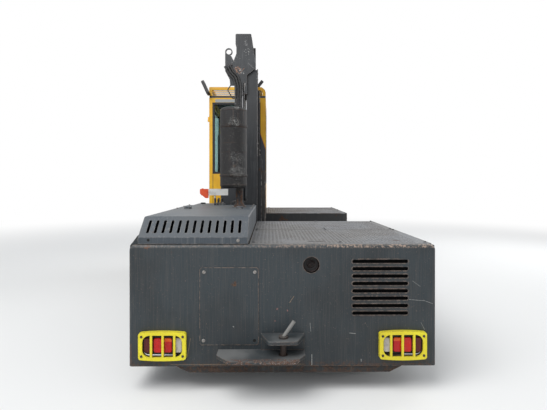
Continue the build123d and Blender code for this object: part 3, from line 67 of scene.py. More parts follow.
def pickOnly(piece):
    clearSelection()
    piece.select_set(True)
    bpy.context.view_layer.objects.active = piece


def settle(piece):
    pickOnly(piece)
    bpy.ops.object.transform_apply(location=True, rotation=True, scale=True)
    return piece


def turnBy(degrees, axis):
    return Matrix.Rotation(radians(degrees), 4, axis)


def about(place, matrix):  # the matrix, worked round a place
    return shift(place) @ matrix @ shift([-value for value in place])


def applyModifier(piece, kind, **settings):
    modifier = piece.modifiers.new(kind, kind)
    for key, value in settings.items():
        setattr(modifier, key, value)
    bpy.ops.object.modifier_apply(modifier=modifier.name)


def fresh(name):  # the object that was just added
    bpy.context.object.name = name
    return bpy.context.object


def startCube(name, low, high):
    clearSelection()
    middle = [(a + b) / 2 for a, b in zip(low, high)]
    bpy.ops.mesh.primitive_cube_add(size=1, location=middle)
    piece = fresh(name)
    piece.scale = [b - a for a, b in zip(low, high)]
    return settle(piece)


def startTube(name, start, end, radius, sides=24):
    clearSelection()
    start, end = Vector(start), Vector(end)
    way = end - start
    bpy.ops.mesh.primitive_cylinder_add(vertices=sides, radius=radius, depth=way.length, location=(start + end) / 2)
    piece = fresh(name)
    piece.rotation_euler = way.to_track_quat("Z", "Y").to_euler()
    return settle(piece)


def soften(piece, width=0.002, segments=2, angle=40):
    pickOnly(piece)
    applyModifier(piece, "BEVEL", width=width, segments=segments, limit_method="ANGLE", angle_limit=radians(angle))
    return piece


def softCube(name, low, high, width, segments=2):
    return soften(startCube(name, low, high), width, segments)


def smooth(piece, angle=35):
    pickOnly(piece)
    bpy.ops.object.shade_smooth_by_angle(angle=radians(angle))
    return piece


def selectFaces(piece, keep):  # leaves the piece in edit mode with the kept faces picked
    pickOnly(piece)
    editMode()
    bpy.ops.mesh.select_mode(type="FACE")
    pickMesh("DESELECT")
    objectMode()
    for face in piece.data.polygons:
        face.select = keep(face)
    editMode()


def joinAll(name, pieces):
    pickOnly(pieces[0])
    for piece in pieces[1:]:
        piece.select_set(True)
    if len(pieces) > 1:
        bpy.ops.object.join()
    pieces[0].name = name
    return settle(pieces[0])


def copyTo(piece, matrix, name="copy"):
    clone = piece.copy()
    clone.data = piece.data.copy()
    clone.name = name
    bpy.context.collection.objects.link(clone)
    clone.data.transform(matrix)
    return clone


def dropPiece(piece):
    bpy.data.objects.remove(piece, do_unlink=True)


def turned(name, profile, centre, axis, steps=48, closed=False):
    # profile is a list of (radius, distance along the axis); axis is "X", "Y" or "Z"
    clearSelection()
    bpy.ops.mesh.primitive_plane_add(size=0.01)
    piece = fresh(name)
    editMode()
    bpy.ops.mesh.select_mode(type="VERT")
    pickMesh()
    bpy.ops.mesh.merge(type="CENTER")
    radius, along = profile[0]
    bpy.ops.transform.translate(value=(radius, 0, along))
    for nextRadius, nextAlong in profile[1:]:
        move = (nextRadius - radius, 0, nextAlong - along)
        bpy.ops.mesh.extrude_region_move(TRANSFORM_OT_translate={"value": move})
        radius, along = nextRadius, nextAlong
    if closed:
        pickMesh("DESELECT")
        objectMode()
        for end in (0, len(piece.data.vertices) - 1):
            piece.data.vertices[end].select = True
        editMode()
        bpy.ops.mesh.edge_face_add()
    pickMesh()
    bpy.ops.mesh.spin(steps=steps, angle=2 * pi, center=(0, 0, 0), axis=(0, 0, 1))
    pickMesh()
    bpy.ops.mesh.remove_doubles(threshold=0.00002)
    bpy.ops.mesh.normals_make_consistent(inside=False)
    objectMode()
    turn = {"X": turnBy(90, "Y"), "Y": turnBy(-90, "X"), "Z": Matrix.Identity(4)}[axis]
    piece.data.transform(shift(centre) @ turn)
    return piece


def bentTube(name, points, radius, sides=12):
    clearSelection()
    bpy.ops.curve.primitive_nurbs_path_add()
    curve = fresh(name)
    spline = curve.data.splines[0]
    spline.points.add(max(0, len(points) - len(spline.points)))
    for index, point in enumerate(spline.points):
        point.co = (*points[min(index, len(points) - 1)], 1)
    spline.order_u = 3
    spline.use_endpoint_u = True
    curve.data.bevel_depth = radius
    curve.data.bevel_resolution = sides // 4 - 1
    curve.data.resolution_u = 8
    curve.data.use_fill_caps = True
    bpy.ops.object.convert(target="MESH")
    return settle(bpy.context.object)


def finishPiece(piece, look, body="chassis"):
    settle(piece)
    piece.data.materials.clear()
    piece.data.materials.append(finishes[look])
    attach(piece, body)
    return piece


def finishJoined(name, pieces, look, body="chassis"):
    return finishPiece(smooth(joinAll(name, pieces)), look, body)


# Materials: a socket knows its tree, so helpers that are given one find the tree through it

def isSocket(value):
    return isinstance(value, bpy.types.NodeSocket)


def feed(node, sockets):  # links an output, sets a value, leaves None alone
    for key, value in sockets.items():
        if isSocket(value):
            node.id_data.links.new(value, node.inputs[key])
        elif value is not None:
            node.inputs[key].default_value = value
    return node


def addNode(tree, kind, settings=None, **sockets):
    node = tree.nodes.new("ShaderNode" + kind)
    for key, value in (settings or {}).items():
        setattr(node, key, value)
    return feed(node, {key.replace("_", " "): value for key, value in sockets.items()})


def treeOf(*values):
    return next(value.id_data for value in values if isSocket(value))


def noiseOf(where, scale, detail=4.0, stretch=None):
    tree = where.id_data
    if stretch:
        where = addNode(tree, "Mapping", Vector=where, Scale=stretch).outputs["Vector"]
    return addNode(tree, "TexNoise", Vector=where, Scale=scale, Detail=detail).outputs["Fac"]


def stepOf(value, low, high):
    return addNode(value.id_data, "MapRange", {"interpolation_type": "SMOOTHSTEP"},
                   Value=value, From_Min=low, From_Max=high).outputs["Result"]


def mathOf(kind, a, b):
    node = addNode(treeOf(a, b), "Math", {"operation": kind, "use_clamp": True})
    return feed(node, {0: a, 1: b}).outputs[0]


def sumOf(a, b):
    return mathOf("ADD", a, b)


def product(*factors):  # all masks at once
    result = factors[0]
    for factor in factors[1:]:
        result = mathOf("MULTIPLY", result, factor)
    return result


def mixOf(factor, a, b):
    a, b = [value if isSocket(value) else (*value, 1) for value in (a, b)]
    node = addNode(treeOf(factor, a, b), "Mix", {"data_type": "RGBA"})
    return feed(node, {0: factor, 6: a, 7: b}).outputs[2]


def vectorOf(kind, a, b=None, scale=None):
    node = addNode(a.id_data, "VectorMath", {"operation": kind})
    feed(node, {0: a, 1: b, 3: scale})
    return node.outputs["Value" if kind in ("DOT_PRODUCT", "LENGTH") else "Vector"]


def splitOf(where):
    return addNode(where.id_data, "SeparateXYZ", Vector=where).outputs


def bumpOf(height, strength, distance, normal=None):
    return addNode(height.id_data, "Bump", Height=height, Strength=strength, Distance=distance,
                   Normal=normal).outputs["Normal"]


def newShader(name):
    material = bpy.data.materials.new(name)
    material.use_nodes = True
    tree = material.node_tree
    return material, tree.nodes["Principled BSDF"], addNode(tree, "TexCoord").outputs["Object"]


def fromPhoto(*screen):  # screen colour to the linear colour a socket wants
    shares = [value / 255 for value in screen]
    return tuple(share / 12.92 if share < 0.043 else ((share + 0.055) / 1.055) ** 2.4 for share in shares)


def strokeGroup():  # mask round a line from Start to End, ragged at its rim
    group = bpy.data.node_groups.new("stroke", "ShaderNodeTree")
    for label in ("Where", "Start", "End"):
        group.interface.new_socket(label, in_out="INPUT", socket_type="NodeSocketVector")
    group.interface.new_socket("Width", in_out="INPUT", socket_type="NodeSocketFloat")
    group.interface.new_socket("Mask", in_out="OUTPUT", socket_type="NodeSocketFloat")
    given = group.nodes.new("NodeGroupInput").outputs
    away = vectorOf("SUBTRACT", given["Where"], given["Start"])
    way = vectorOf("SUBTRACT", given["End"], given["Start"])
    reach = sumOf(vectorOf("DOT_PRODUCT", way, way), 0.000001)
    share = mathOf("DIVIDE", vectorOf("DOT_PRODUCT", away, way), reach)
    missed = vectorOf("SUBTRACT", away, vectorOf("SCALE", way, scale=share))
    miss = sumOf(vectorOf("LENGTH", missed), product(noiseOf(given["Where"], 120, 5), given["Width"]))
    fade = stepOf(miss, product(given["Width"], 0.95), product(given["Width"], 0.6))
    feed(group.nodes.new("NodeGroupOutput"), {"Mask": fade})
    return group


stroke = strokeGroup()


def markPaint(where, colour, marks):  # marks seen along Y: start X and Z, end X and Z, half width, colour, strength
    flat = vectorOf("MULTIPLY", where, (1, 0, 1))
    for startX, startZ, endX, endZ, width, tone, strength in marks:
        mark = addNode(where.id_data, "Group", {"node_tree": stroke}, Where=flat,
                       Start=(startX, 0, startZ), End=(endX, 0, endZ), Width=width)
        colour = mixOf(product(mark.outputs["Mask"], strength), colour, tone)
    return colour


plainLook = dict(patch=2.5, brush=0.06, streaks=0.3, wearWidth=0.01, chipScale=38, specks=0.5, wear=0.8, rust=0.3,
                 rustScale=7, dust=0.25, dustColour=(0.22, 0.205, 0.185), rough=0.42, bareMetal=0.6, dents=0.5,
                 coat=0.0, marks=(), zones=lambda where: ())


def wornPaint(name, look):
    look = {**plainLook, "streakColour": look["edge"], **look}
    look.update({key: fromPhoto(*look[key]) for key in ("colour", "shade", "edge", "streakColour")})
    material, shader, where = newShader(name)
    tree = where.id_data
    broad, grain = noiseOf(where, look["patch"], 6), noiseOf(where, 90, 5)
    height = splitOf(where)["Z"]
    colour = mixOf(stepOf(broad, 0.35, 0.68), look["colour"], look["shade"])
    colour = mixOf(product(stepOf(grain, 0.45, 0.75), 0.35), colour, look["shade"])
    streak = noiseOf(where, 60, 4, (1, 1, 0.05))
    brush = stepOf(noiseOf(where, 240, 2, (1, 1, 0.02)), 0.4, 0.75)
    colour = mixOf(product(brush, look["brush"]), colour, look["edge"])
    streaks = product(stepOf(streak, 0.58, 0.7), stepOf(broad, 0.62, 0.44), look["streaks"])
    colour = mixOf(streaks, colour, look["streakColour"])
    rounded = addNode(tree, "Bevel", {"samples": 6}, Radius=look["wearWidth"]).outputs["Normal"]
    flat = addNode(tree, "NewGeometry").outputs["Normal"]
    edge = mathOf("SUBTRACT", 1.0, vectorOf("DOT_PRODUCT", rounded, flat))
    chips = noiseOf(where, look["chipScale"], 6)
    specks = product(stepOf(noiseOf(where, 170, 2), 0.67, 0.72), stepOf(chips, 0.42, 0.66), look["specks"])
    wear = product(stepOf(edge, 0.015, 0.12), stepOf(chips, 0.38, 0.6), look["wear"])
    if "fold" in look:  # worn along a fold: low and high Z, then how much
        low, high, much = look["fold"]
        more = sumOf(product(stepOf(splitOf(where)["X"], -0.5, 0.9), 0.75), 0.25)
        fine = product(stepOf(noiseOf(where, 75, 6), 0.44, 0.56), more)
        wear = mathOf("MAXIMUM", wear, product(stepOf(height, low, high), fine, stepOf(chips, 0.36, 0.56), much))
    wear = mathOf("MAXIMUM", wear, specks)
    rustPatch = noiseOf(where, look["rustScale"], 8)
    rustLow = 0.78 - look["rust"] * 0.35
    rust = stepOf(rustPatch, rustLow, rustLow + 0.07)
    rim = product(stepOf(edge, 0.002, 0.06), stepOf(rustPatch, 0.4, 0.56), look["rust"] * 1.6)
    rust = mathOf("MAXIMUM", rust, rim)
    if "skirt" in look:  # brown near the ground: high and low Z, then how much
        high, low, much = look["skirt"]
        rust = mathOf("MAXIMUM", rust, product(stepOf(height, high, low), stepOf(chips, 0.4, 0.62), much))
    rustTone = mixOf(stepOf(grain, 0.35, 0.65), (0.04, 0.02, 0.013), (0.12, 0.062, 0.034))
    colour = mixOf(wear, colour, look["edge"])
    colour = mixOf(rust, colour, rustTone)
    dust = product(stepOf(splitOf(flat)["Z"], 0.5, 1.0), stepOf(broad, 0.3, 0.62), look["dust"])
    colour = mixOf(dust, colour, look["dustColour"])
    colour = markPaint(where, colour, look["marks"])
    for mask, tone in look["zones"](where):
        colour = mixOf(mask, colour, tone)
    rough = sumOf(sumOf(look["rough"], product(broad, 0.18)), product(rust, 0.35))
    relief = product(sumOf(product(broad, look["dents"]), product(grain, 0.05)), 0.5)
    softEdge = addNode(tree, "Bevel", {"samples": 4}, Radius=0.0025).outputs["Normal"]
    feed(shader, {"Base Color": colour, "Roughness": rough, "Metallic": product(wear, look["bareMetal"]),
                  "Normal": bumpOf(sumOf(relief, product(rust, 0.03)), 0.25, 0.012, softEdge),
                  "Coat Weight": look["coat"]})
    return material


pink, tan, chalk = fromPhoto(150, 104, 98), fromPhoto(150, 128, 104), fromPhoto(186, 186, 182)
brown, darkBrown = fromPhoto(96, 66, 50), fromPhoto(52, 40, 34)
tailMarks = (
    (-0.042, 0.602, -0.042, 0.602, 0.02, pink, 0.8),
    (-0.056, 0.516, -0.056, 0.516, 0.016, pink, 0.7),
    (0.033, 0.593, 0.034, 0.588, 0.013, pink, 0.7),
    (0.08, 0.693, 0.049, 0.647, 0.006, tan, 0.8),
    (0.2075, 0.274, 0.2075, 0.2, 0.007, chalk, 0.8),
    (-0.356, 0.479, -0.35, 0.474, 0.009, chalk, 0.6),
    (0.195, 0.5, 0.2, 0.44, 0.004, chalk, 0.5),
    (0.903, 0.667, 1.015, 0.658, 0.0035, chalk, 0.7),
    (1.015, 0.658, 1.074, 0.637, 0.0035, chalk, 0.7),
    (0.991, 0.501, 1.018, 0.449, 0.0035, chalk, 0.5),
    (0.93, 0.8, 0.985, 0.76, 0.004, chalk, 0.4),
    (-0.983, 1.039, -0.955, 1.043, 0.022, brown, 0.9),
    (-0.966, 1.07, -0.966, 1.03, 0.013, brown, 0.8),
    (-1.085, 0.35, -1.085, 0.21, 0.018, brown, 0.6),
    (1.096, 1.03, 1.096, 0.21, 0.007, brown, 0.7),
    (-1.096, 1.000, -1.096, 0.21, 0.006, brown, 0.6),
    (-0.8, 0.206, 0.15, 0.206, 0.006, tan, 0.6),
    (0.56, 0.206, 1.05, 0.206, 0.005, brown, 0.6),
    (-0.66, 0.392, -0.682, 0.26, 0.005, tan, 0.7),
    (0.478, 0.428, 0.52, 0.424, 0.007, chalk, 0.6),
    (0.56, 0.24, 0.562, 0.225, 0.008, chalk, 0.5),
    (0.93, 0.285, 0.935, 0.235, 0.004, tan, 0.6),
)


def scuffs(where, rows, size=70):  # rows: X, Z, radius, how dense, colour
    flat = vectorOf("MULTIPLY", where, (1, 0, 1))
    rough = noiseOf(where, size, 8)
    zones = []
    for x, z, radius, dense, tone in rows:
        near = stepOf(vectorOf("LENGTH", vectorOf("SUBTRACT", flat, (x, 0, z))), radius, radius * 0.3)
        level = sumOf(product(near, dense), rough)
        spots = stepOf(mathOf("SUBTRACT", level, 0.25), 0.42, 0.5)
        zones.append((product(spots, 0.7), tone))
    return zones


def canZones(where):
    rows = ((-0.425, 1.616, 0.12, 0.14, chalk), (-0.455, 2.113, 0.09, 0.14, chalk),
            (-0.425, 1.76, 0.11, 0.1, chalk), (-0.43, 2.27, 0.045, 0.14, chalk),
            (-0.42, 1.47, 0.08, 0.15, fromPhoto(120, 116, 110)))
    return scuffs(where, rows, 170)


def deckZones(where):  # painted shade in the gap at the tail, a darker band along the seam
    y = splitOf(where)["Y"]
    # painted shade: near-black along the gap where the deck meets the tail's fold
    joint = stepOf(y, -2.108, -2.114)
    seam = product(stepOf(y, -1.204, -1.198), stepOf(y, -1.176, -1.182))
    return ((joint, (0.012, 0.012, 0.012)), (product(seam, 0.6), (0.02, 0.019, 0.018)))


def pillarZones(where):  # the right rear pillar: yellow above a slanting line, dark grey below, orange seam; painted shade on the rear wall below the window
    x, y, z = splitOf(where)
    total = vectorOf("DOT_PRODUCT", vectorOf("ADD", where, (0.237, 0, 0)), (3, 0, 1))
    right = stepOf(x, -0.24, -0.236)
    rear = stepOf(y, 1.034, 1.03)
    below = stepOf(total, 2.245, 2.235)
    band = product(stepOf(total, 2.265, 2.262), stepOf(total, 2.236, 2.239))
    header = product(stepOf(z, 2.692, 2.696), stepOf(z, 2.742, 2.738),
                     stepOf(x, -0.902, -0.898), stepOf(x, -0.236, -0.24), rear)
    # painted shade: dark grey on the rear wall below the window, where the silencer and machinery in front shade it
    foot = product(stepOf(x, -0.822, -0.818), stepOf(z, 1.632, 1.628), rear)
    joint = product(stepOf(x, -0.94, -0.938), stepOf(x, -0.931, -0.933),
                    stepOf(z, 1.64, 1.636), rear)
    return ((product(below, right, rear), fromPhoto(52, 55, 60)), (foot, fromPhoto(42, 45, 49)),
            (product(band, right, rear), fromPhoto(206, 120, 30)), (header, fromPhoto(150, 154, 154)),
            (joint, (0.01, 0.01, 0.01)))


def hitchZones(where):  # brown drop pin, bright handle, worn front edges
    x, y, z = splitOf(where)
    aside = vectorOf("MULTIPLY", vectorOf("SUBTRACT", where, (0, -2.255, 0)), (1, 1, 0))
    near = vectorOf("LENGTH", aside)
    high = stepOf(z, 0.442, 0.448)
    ragged = stepOf(noiseOf(where, 45, 6), 0.42, 0.58)
    front = product(stepOf(y, -2.322, -2.334), ragged, 0.8)
    return ((front, brown), (stepOf(near, 0.034, 0.031), darkBrown), (high, fromPhoto(128, 127, 124)),
            (product(front, stepOf(noiseOf(where, 190, 3), 0.6, 0.64)), chalk))


def headZones(where):  # scuffs on the mast head plate, only on its rear face
    rear = stepOf(splitOf(where)["Y"], -0.268, -0.274)
    rows = ((-0.47, 2.83, 0.06, 0.18, fromPhoto(150, 106, 76)), (-0.425, 2.8, 0.05, 0.18, chalk),
            (-0.37, 3.136, 0.05, 0.2, fromPhoto(120, 120, 120)), (-0.36, 3.04, 0.07, 0.1, chalk))
    return [(product(mask, rear), tone) for mask, tone in scuffs(where, rows)]


headMarks = (
    (-0.346, 2.905, -0.278, 2.839, 0.004, chalk, 0.5),
    (-0.505, 2.842, -0.45, 2.778, 0.008, fromPhoto(168, 120, 88), 0.7),
    (-0.45, 2.778, -0.392, 2.842, 0.008, fromPhoto(150, 104, 76), 0.7),
)

lookTable = (  # colour, shade and worn edge as seen on the screen, then what differs from the plain look
    ("body", (44, 53, 58), (35, 42, 46), (132, 126, 118),
     dict(wear=0.75, streaks=0.2, streakColour=(84, 84, 82), dents=0.8, specks=0.6, skirt=(0.3, 0.2, 0.6))),
    ("tail", (44, 53, 58), (35, 42, 46), (158, 138, 124),
     dict(rust=0.22, wear=0.75, streaks=0.15, streakColour=(88, 86, 82), dents=0.8, specks=0.85, bareMetal=0.2,
          skirt=(0.25, 0.195, 0.6), fold=(1.032, 1.046, 1.0), marks=tailMarks)),
    # its upward faces painted lighter grey: dust, with painted light on the plate's top
    ("hitch", (47, 54, 58), (38, 43, 46), (132, 126, 118),
     dict(wear=0.9, streaks=0.1, specks=0.6, dust=0.75, dustColour=(0.2, 0.203, 0.2), zones=hitchZones)),
    ("frame", (40, 43, 45), (30, 32, 33), (100, 94, 86),
     dict(rust=0.45, wear=0.5, dust=0.45, rough=0.55, skirt=(0.42, 0.22, 0.6))),
    ("hood", (61, 69, 77), (52, 59, 66), (160, 158, 154),
     dict(rust=0.14, wear=0.5, dents=0.6, dust=0.32, streaks=0.2, specks=0.35, dustColour=(0.215, 0.222, 0.222))),
    ("deck", (90, 94, 99), (66, 69, 73), (186, 186, 184),
     dict(wear=0.9, dust=0.35, patch=1.6, bareMetal=0.7, specks=0.7, zones=deckZones)),
    ("cab", (240, 188, 18), (220, 162, 12), (140, 112, 66),
     dict(rust=0.12, wear=0.3, dust=0.15, rough=0.34, streaks=0.25, streakColour=(170, 116, 22), coat=0.15,
          dents=0.3, specks=0.2)),
    ("guard", (246, 236, 44), (228, 210, 36), (84, 82, 70),
     dict(rust=0.1, wear=0.6, dust=0.1, rough=0.38, chipScale=60, wearWidth=0.006, coat=0.1, streaks=0.15,
          streakColour=(150, 130, 40))),
    ("silencer", (22, 23, 26), (15, 15, 17), (110, 92, 80),
     dict(rust=0.34, wear=0.4, rough=0.6, chipScale=30, dust=0.1, dents=0.3, rustScale=11, specks=0.3,
          skirt=(1.44, 1.4, 0.9), zones=canZones)),
    ("mast", (40, 44, 48), (30, 32, 35), (138, 138, 138),
     dict(rust=0.24, wear=0.85, rough=0.4, dust=0.1, streaks=0.5, streakColour=(92, 92, 94), zones=headZones,
          marks=headMarks)),
    ("fork", (34, 34, 36), (52, 50, 47), (165, 162, 158),
     dict(rust=0.45, wear=1.0, rough=0.45, wearWidth=0.02, bareMetal=0.9)),
    ("rim", (150, 151, 151), (116, 112, 104), (90, 70, 55), dict(rust=0.35, wear=0.6, dust=0.3, rough=0.5)),
    ("cast", (50, 48, 46), (34, 31, 28), (96, 92, 86), dict(rust=0.45, wear=0.5, rough=0.55, dust=0.35)),
)
paintLooks = {key: dict(more, colour=colour, shade=shade, edge=edge)
              for key, colour, shade, edge, more in lookTable}
paintLooks["cabRear"] = dict(paintLooks["cab"], zones=pillarZones)
paintLooks["bars"] = dict(paintLooks["deck"], colour=(98, 100, 105), shade=(72, 74, 78), wearWidth=0.002, wear=1.0)
# the drain plug: its own dark red-brown, darkened further with painted shade of the recess it sits in
paintLooks["plugInPaintedShade"] = dict(paintLooks["cast"], colour=(17, 14, 14), shade=(8, 8, 8), edge=(150, 118, 114),
                          specks=0.6, rust=0.05, wear=0.15, dust=0, streaks=0, brush=0)


def plainFinish(name, colour, second, rough, metal, scale, relief, extra=()):
    material, shader, where = newShader(name)
    grain, broad = noiseOf(where, scale, 6), noiseOf(where, 3, 4)
    tone = mixOf(stepOf(grain, 0.35, 0.7), colour, second)
    tone = mixOf(product(stepOf(broad, 0.45, 0.7), 0.5), tone, second)
    feed(shader, {"Base Color": tone, "Roughness": sumOf(rough, product(grain, 0.15)), "Metallic": metal,
                  "Normal": bumpOf(grain, relief, 0.003), **dict(extra)})
    return material


def lensFinish(name, bands, limits):
    # bands: distance off the middle where each lens starts, and its colour; limits: Y where the lens starts
    material, shader, where = newShader(name)
    x, y, z = splitOf(where)
    aside = splitOf(vectorOf("ABSOLUTE", where))["X"]
    colour = fromPhoto(*bands[0][1])
    for begin, tone in bands[1:]:
        colour = mixOf(stepOf(aside, begin - 0.001, begin + 0.001), colour, fromPhoto(*tone))
    if name == "tailLens":  # the second lens has an orange top
        top = product(stepOf(z, 0.372, 0.376), stepOf(aside, 0.784, 0.786), stepOf(aside, 0.856, 0.854))
        colour = mixOf(top, colour, fromPhoto(236, 96, 16))
    grime = stepOf(noiseOf(where, 22, 6), 0.5, 0.75)
    colour = mixOf(product(grime, 0.3), colour, fromPhoto(60, 30, 24))
    ribs = addNode(where.id_data, "TexWave", {"bands_direction": "Z"}, Vector=where, Scale=46.0,
                   Distortion=0.0).outputs["Fac"]
    colour = mixOf(product(ribs, 0.25), colour, fromPhoto(30, 12, 12))
    lens = stepOf(y, *limits)
    feed(shader, {"Base Color": mixOf(lens, (0.01, 0.01, 0.011), colour),
                  "Roughness": mathOf("SUBTRACT", 0.55, product(lens, 0.43)), "Coat Weight": product(lens, 0.25),
                  "Specular IOR Level": 0.3, "Normal": bumpOf(ribs, 0.35, 0.002)})
    return material


def boardFinish():  # white board with a red end, grey post
    material, shader, where = newShader("markerBoard")
    x, y, z = splitOf(where)
    grime = stepOf(noiseOf(where, 16, 6), 0.48, 0.74)
    white = mixOf(product(grime, 0.5), fromPhoto(214, 214, 210), fromPhoto(160, 156, 148))
    red = mixOf(product(grime, 0.4), fromPhoto(222, 84, 42), fromPhoto(170, 62, 36))
    colour = mixOf(stepOf(x, -0.7905, -0.7915), white, red)
    colour = mixOf(stepOf(z, 1.3305, 1.3285), colour, fromPhoto(52, 56, 60))
    feed(shader, {"Base Color": colour, "Roughness": sumOf(0.35, product(grime, 0.3)),
                  "Normal": bumpOf(grime, 0.08, 0.002)})
    return material


def tintedGlass():
    material, shader, where = newShader("cabGlass")
    film = noiseOf(where, 3.5, 6)
    feed(shader, {"Base Color": mixOf(stepOf(film, 0.3, 0.8), (0.5, 0.63, 0.62), (0.4, 0.54, 0.53)),
                  "Roughness": product(stepOf(film, 0.55, 0.8), 0.12), "Transmission Weight": 1.0, "IOR": 1.2})
    return material


finishes = {key: wornPaint(key + "Paint", look) for key, look in paintLooks.items()}
plainTable = (  # key, name, two colours, roughness, metal, grain scale, relief, further inputs
    ("steel", "bareSteel", (0.42, 0.41, 0.4), (0.25, 0.22, 0.19), 0.28, 1.0, 60, 0.08),
    ("zinc", "zincSteel", (0.4, 0.39, 0.38), (0.22, 0.2, 0.18), 0.36, 0.85, 80, 0.08),
    ("chain", "oiledChain", (0.085, 0.08, 0.074), (0.22, 0.21, 0.2), 0.34, 0.8, 140, 0.1),
    # near-black and matt: painted shade inside the louvre slots
    ("louvrePaintedShade", "louvrePaintedShade", (0.0015, 0.0015, 0.0016), (0.003, 0.003, 0.0032), 0.84, 0.0, 60, 0.1,
     {"Specular IOR Level": 0.04}),
    ("chrome", "hardChrome", (0.46, 0.46, 0.48), (0.36, 0.36, 0.37), 0.1, 1.0, 20, 0.01),
    ("rubber", "tyreRubber", (0.018, 0.018, 0.018), (0.052, 0.048, 0.044), 0.7, 0.0, 24, 0.25),
    ("hose", "hoseRubber", (0.012, 0.012, 0.013), (0.035, 0.033, 0.031), 0.48, 0.0, 50, 0.1),
    ("trim", "blackPlastic", (0.016, 0.016, 0.018), (0.035, 0.035, 0.036), 0.42, 0.0, 120, 0.1),
    ("vinyl", "seatVinyl", (0.018, 0.018, 0.02), (0.03, 0.03, 0.032), 0.44, 0.0, 260, 0.22,
     {"Sheen Weight": 0.15}),
    ("clearLens", "clearLens", (0.8, 0.82, 0.82), (0.6, 0.62, 0.64), 0.06, 0.0, 90, 0.15, {"Coat Weight": 0.7}),
    # near-black: painted shade inside holes and the silencer's pipe
    ("paintedHoleShade", "paintedHoleShade", (0.006, 0.006, 0.006), (0.012, 0.011, 0.01), 0.85, 0.0, 30, 0.05),
    ("seal", "sealRubber", (0.01, 0.01, 0.011), (0.024, 0.023, 0.022), 0.55, 0.0, 70, 0.12),
    ("webbing", "beltWebbing", (0.02, 0.02, 0.022), (0.04, 0.038, 0.036), 0.75, 0.0, 420, 0.5),
)
finishes.update({key: plainFinish(*row) for key, *row in plainTable})
tailBands = ((0.0, (205, 200, 198)), (0.785, (196, 12, 12)), (0.855, (214, 22, 16)), (0.925, (96, 14, 14)))
headBands = ((0.0, (222, 224, 224)), (0.925, (222, 120, 40)))
finishes["tailLens"] = lensFinish("tailLens", tailBands, (-2.1625, -2.1645))
finishes["headLens"] = lensFinish("headLens", headBands, (2.3425, 2.3445))
finishes["board"] = boardFinish()
finishes["glass"] = tintedGlass()
print("materials ready")

nodeFinish = {
    "tail": "tail_panel tail_cover",
    "body": "side_panels front_panel",
    "hitch": "tow_hitch",
    "frame": "chassis_frame ballast_block fuel_tank cab_floor",
    "hood": "engine_hood hood_cowl hydraulic_tank",
    "deck": "rear_deck front_deck",
    "cab": "cab_front_wall cab_right_wall cab_left_frame cab_door roof_guard",
    "cabRear": "cab_rear_wall",
    "guard": "lamp_guards",
    "silencer": "silencer",
    "mast": "mast_rails mast_trolley outer_mast lift_barrels inner_mast fork_carriage tilt_barrels",
    "fork": "forks",
    "rim": "rear_left_rim rear_right_rim front_left_rim front_right_rim",
    "cast": "rear_axle front_axle engine_block reach_motor left_knuckle right_knuckle",
    "steel": "lift_chains",
    "chrome": "lift_rods tilt_rods tie_rod",
    "hose": "hose_loop",
    "trim": "seat_base cab_controls mirror_and_lamps cab_roof",
    "vinyl": "cab_seat",
    "glass": "cab_windows door_glass",
    "tailLens": "tail_lamps",
    "headLens": "head_lamps",
    "board": "marker_bar",
    "rubber": "rear_left_tyre rear_right_tyre front_left_tyre front_right_tyre",
}
for key, names in nodeFinish.items():
    for name in names.split():
        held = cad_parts[name]
        held.data.materials.clear()
        held.data.materials.append(finishes[key])
print("frame pieces painted")

# Camera, floor and light

bpy.ops.object.camera_add(location=(-0.092, -5.095, 1.502), rotation=(radians(89.8), 0, radians(-0.49)))
camera = fresh("photoCamera")
camera.data.lens = 27.05
camera.data.shift_y = -0.0376
camera.data.clip_end = 200
bpy.context.scene.camera = camera
bpy.context.scene.view_settings.view_transform = "Standard"


def blendInto(kind, factor, first, second):  # two shaders into the tree's output
    tree = factor.id_data
    blend = feed(addNode(tree, "MixShader"), {0: factor, 1: first.outputs[0], 2: second.outputs[0]})
    addNode(tree, kind, Surface=blend.outputs[0])


def paleFloor(size=60, height=-0.001):
    clearSelection()
    bpy.ops.mesh.primitive_plane_add(size=size, location=(0, 0, height))
    floor = fresh("floor")
    material = bpy.data.materials.new("paleFloor")
    material.use_nodes = True
    tree = material.node_tree
    tree.nodes.clear()
    fade = stepOf(vectorOf("LENGTH", addNode(tree, "TexCoord").outputs["Object"]), 5.0, 14.0)
    seen = addNode(tree, "LightPath").outputs["Is Camera Ray"]
    matt = addNode(tree, "BsdfDiffuse", Color=(0.82, 0.82, 0.81, 1), Roughness=0.5)
    white = addNode(tree, "Emission", Color=(1, 1, 1, 1))
    blendInto("OutputMaterial", product(fade, seen), matt, white)
    floor.data.materials.append(material)


def softSky(strength=0.62):
    world = bpy.data.worlds.new("studioSky")
    bpy.context.scene.world = world
    world.use_nodes = True
    tree = world.node_tree
    tree.nodes.clear()
    rays = addNode(tree, "LightPath").outputs
    shown = mathOf("MAXIMUM", rays["Is Camera Ray"], rays["Is Glossy Ray"])
    shown = mathOf("MAXIMUM", shown, rays["Is Transmission Ray"])
    light = addNode(tree, "Background", Color=(0.93, 0.96, 1.0, 1), Strength=strength)
    white = addNode(tree, "Background", Color=(1, 1, 1, 1))
    blendInto("OutputWorld", shown, light, white)


def addLamp(name, place, aim, size, power):
    turn = (Vector(aim) - Vector(place)).to_track_quat("-Z", "Y").to_euler()
    bpy.ops.object.light_add(type="AREA", location=place, rotation=turn)
    lamp = fresh(name)
    lamp.data.size = size
    lamp.data.energy = power


paleFloor()
softSky()
addLamp("skyPanel", (-3.0, -5.5, 7.5), (0, 0, 1.2), 6.0, 520)
addLamp("fillPanel", (6.5, 3.0, 5.0), (0, 0, 1.0), 5.0, 260)
print("camera and light ready")

# Tyres with road tread

tyreLook = dict(radius=0.42, carcass=0.404, width=0.25, bead=0.206, lugs=20, lugAround=0.07)
wheelPlaces = [(end + side, out, y) for end, y in (("rear_", -1.26), ("front_", 1.54))
               for side, out in (("left", -1), ("right", 1))]


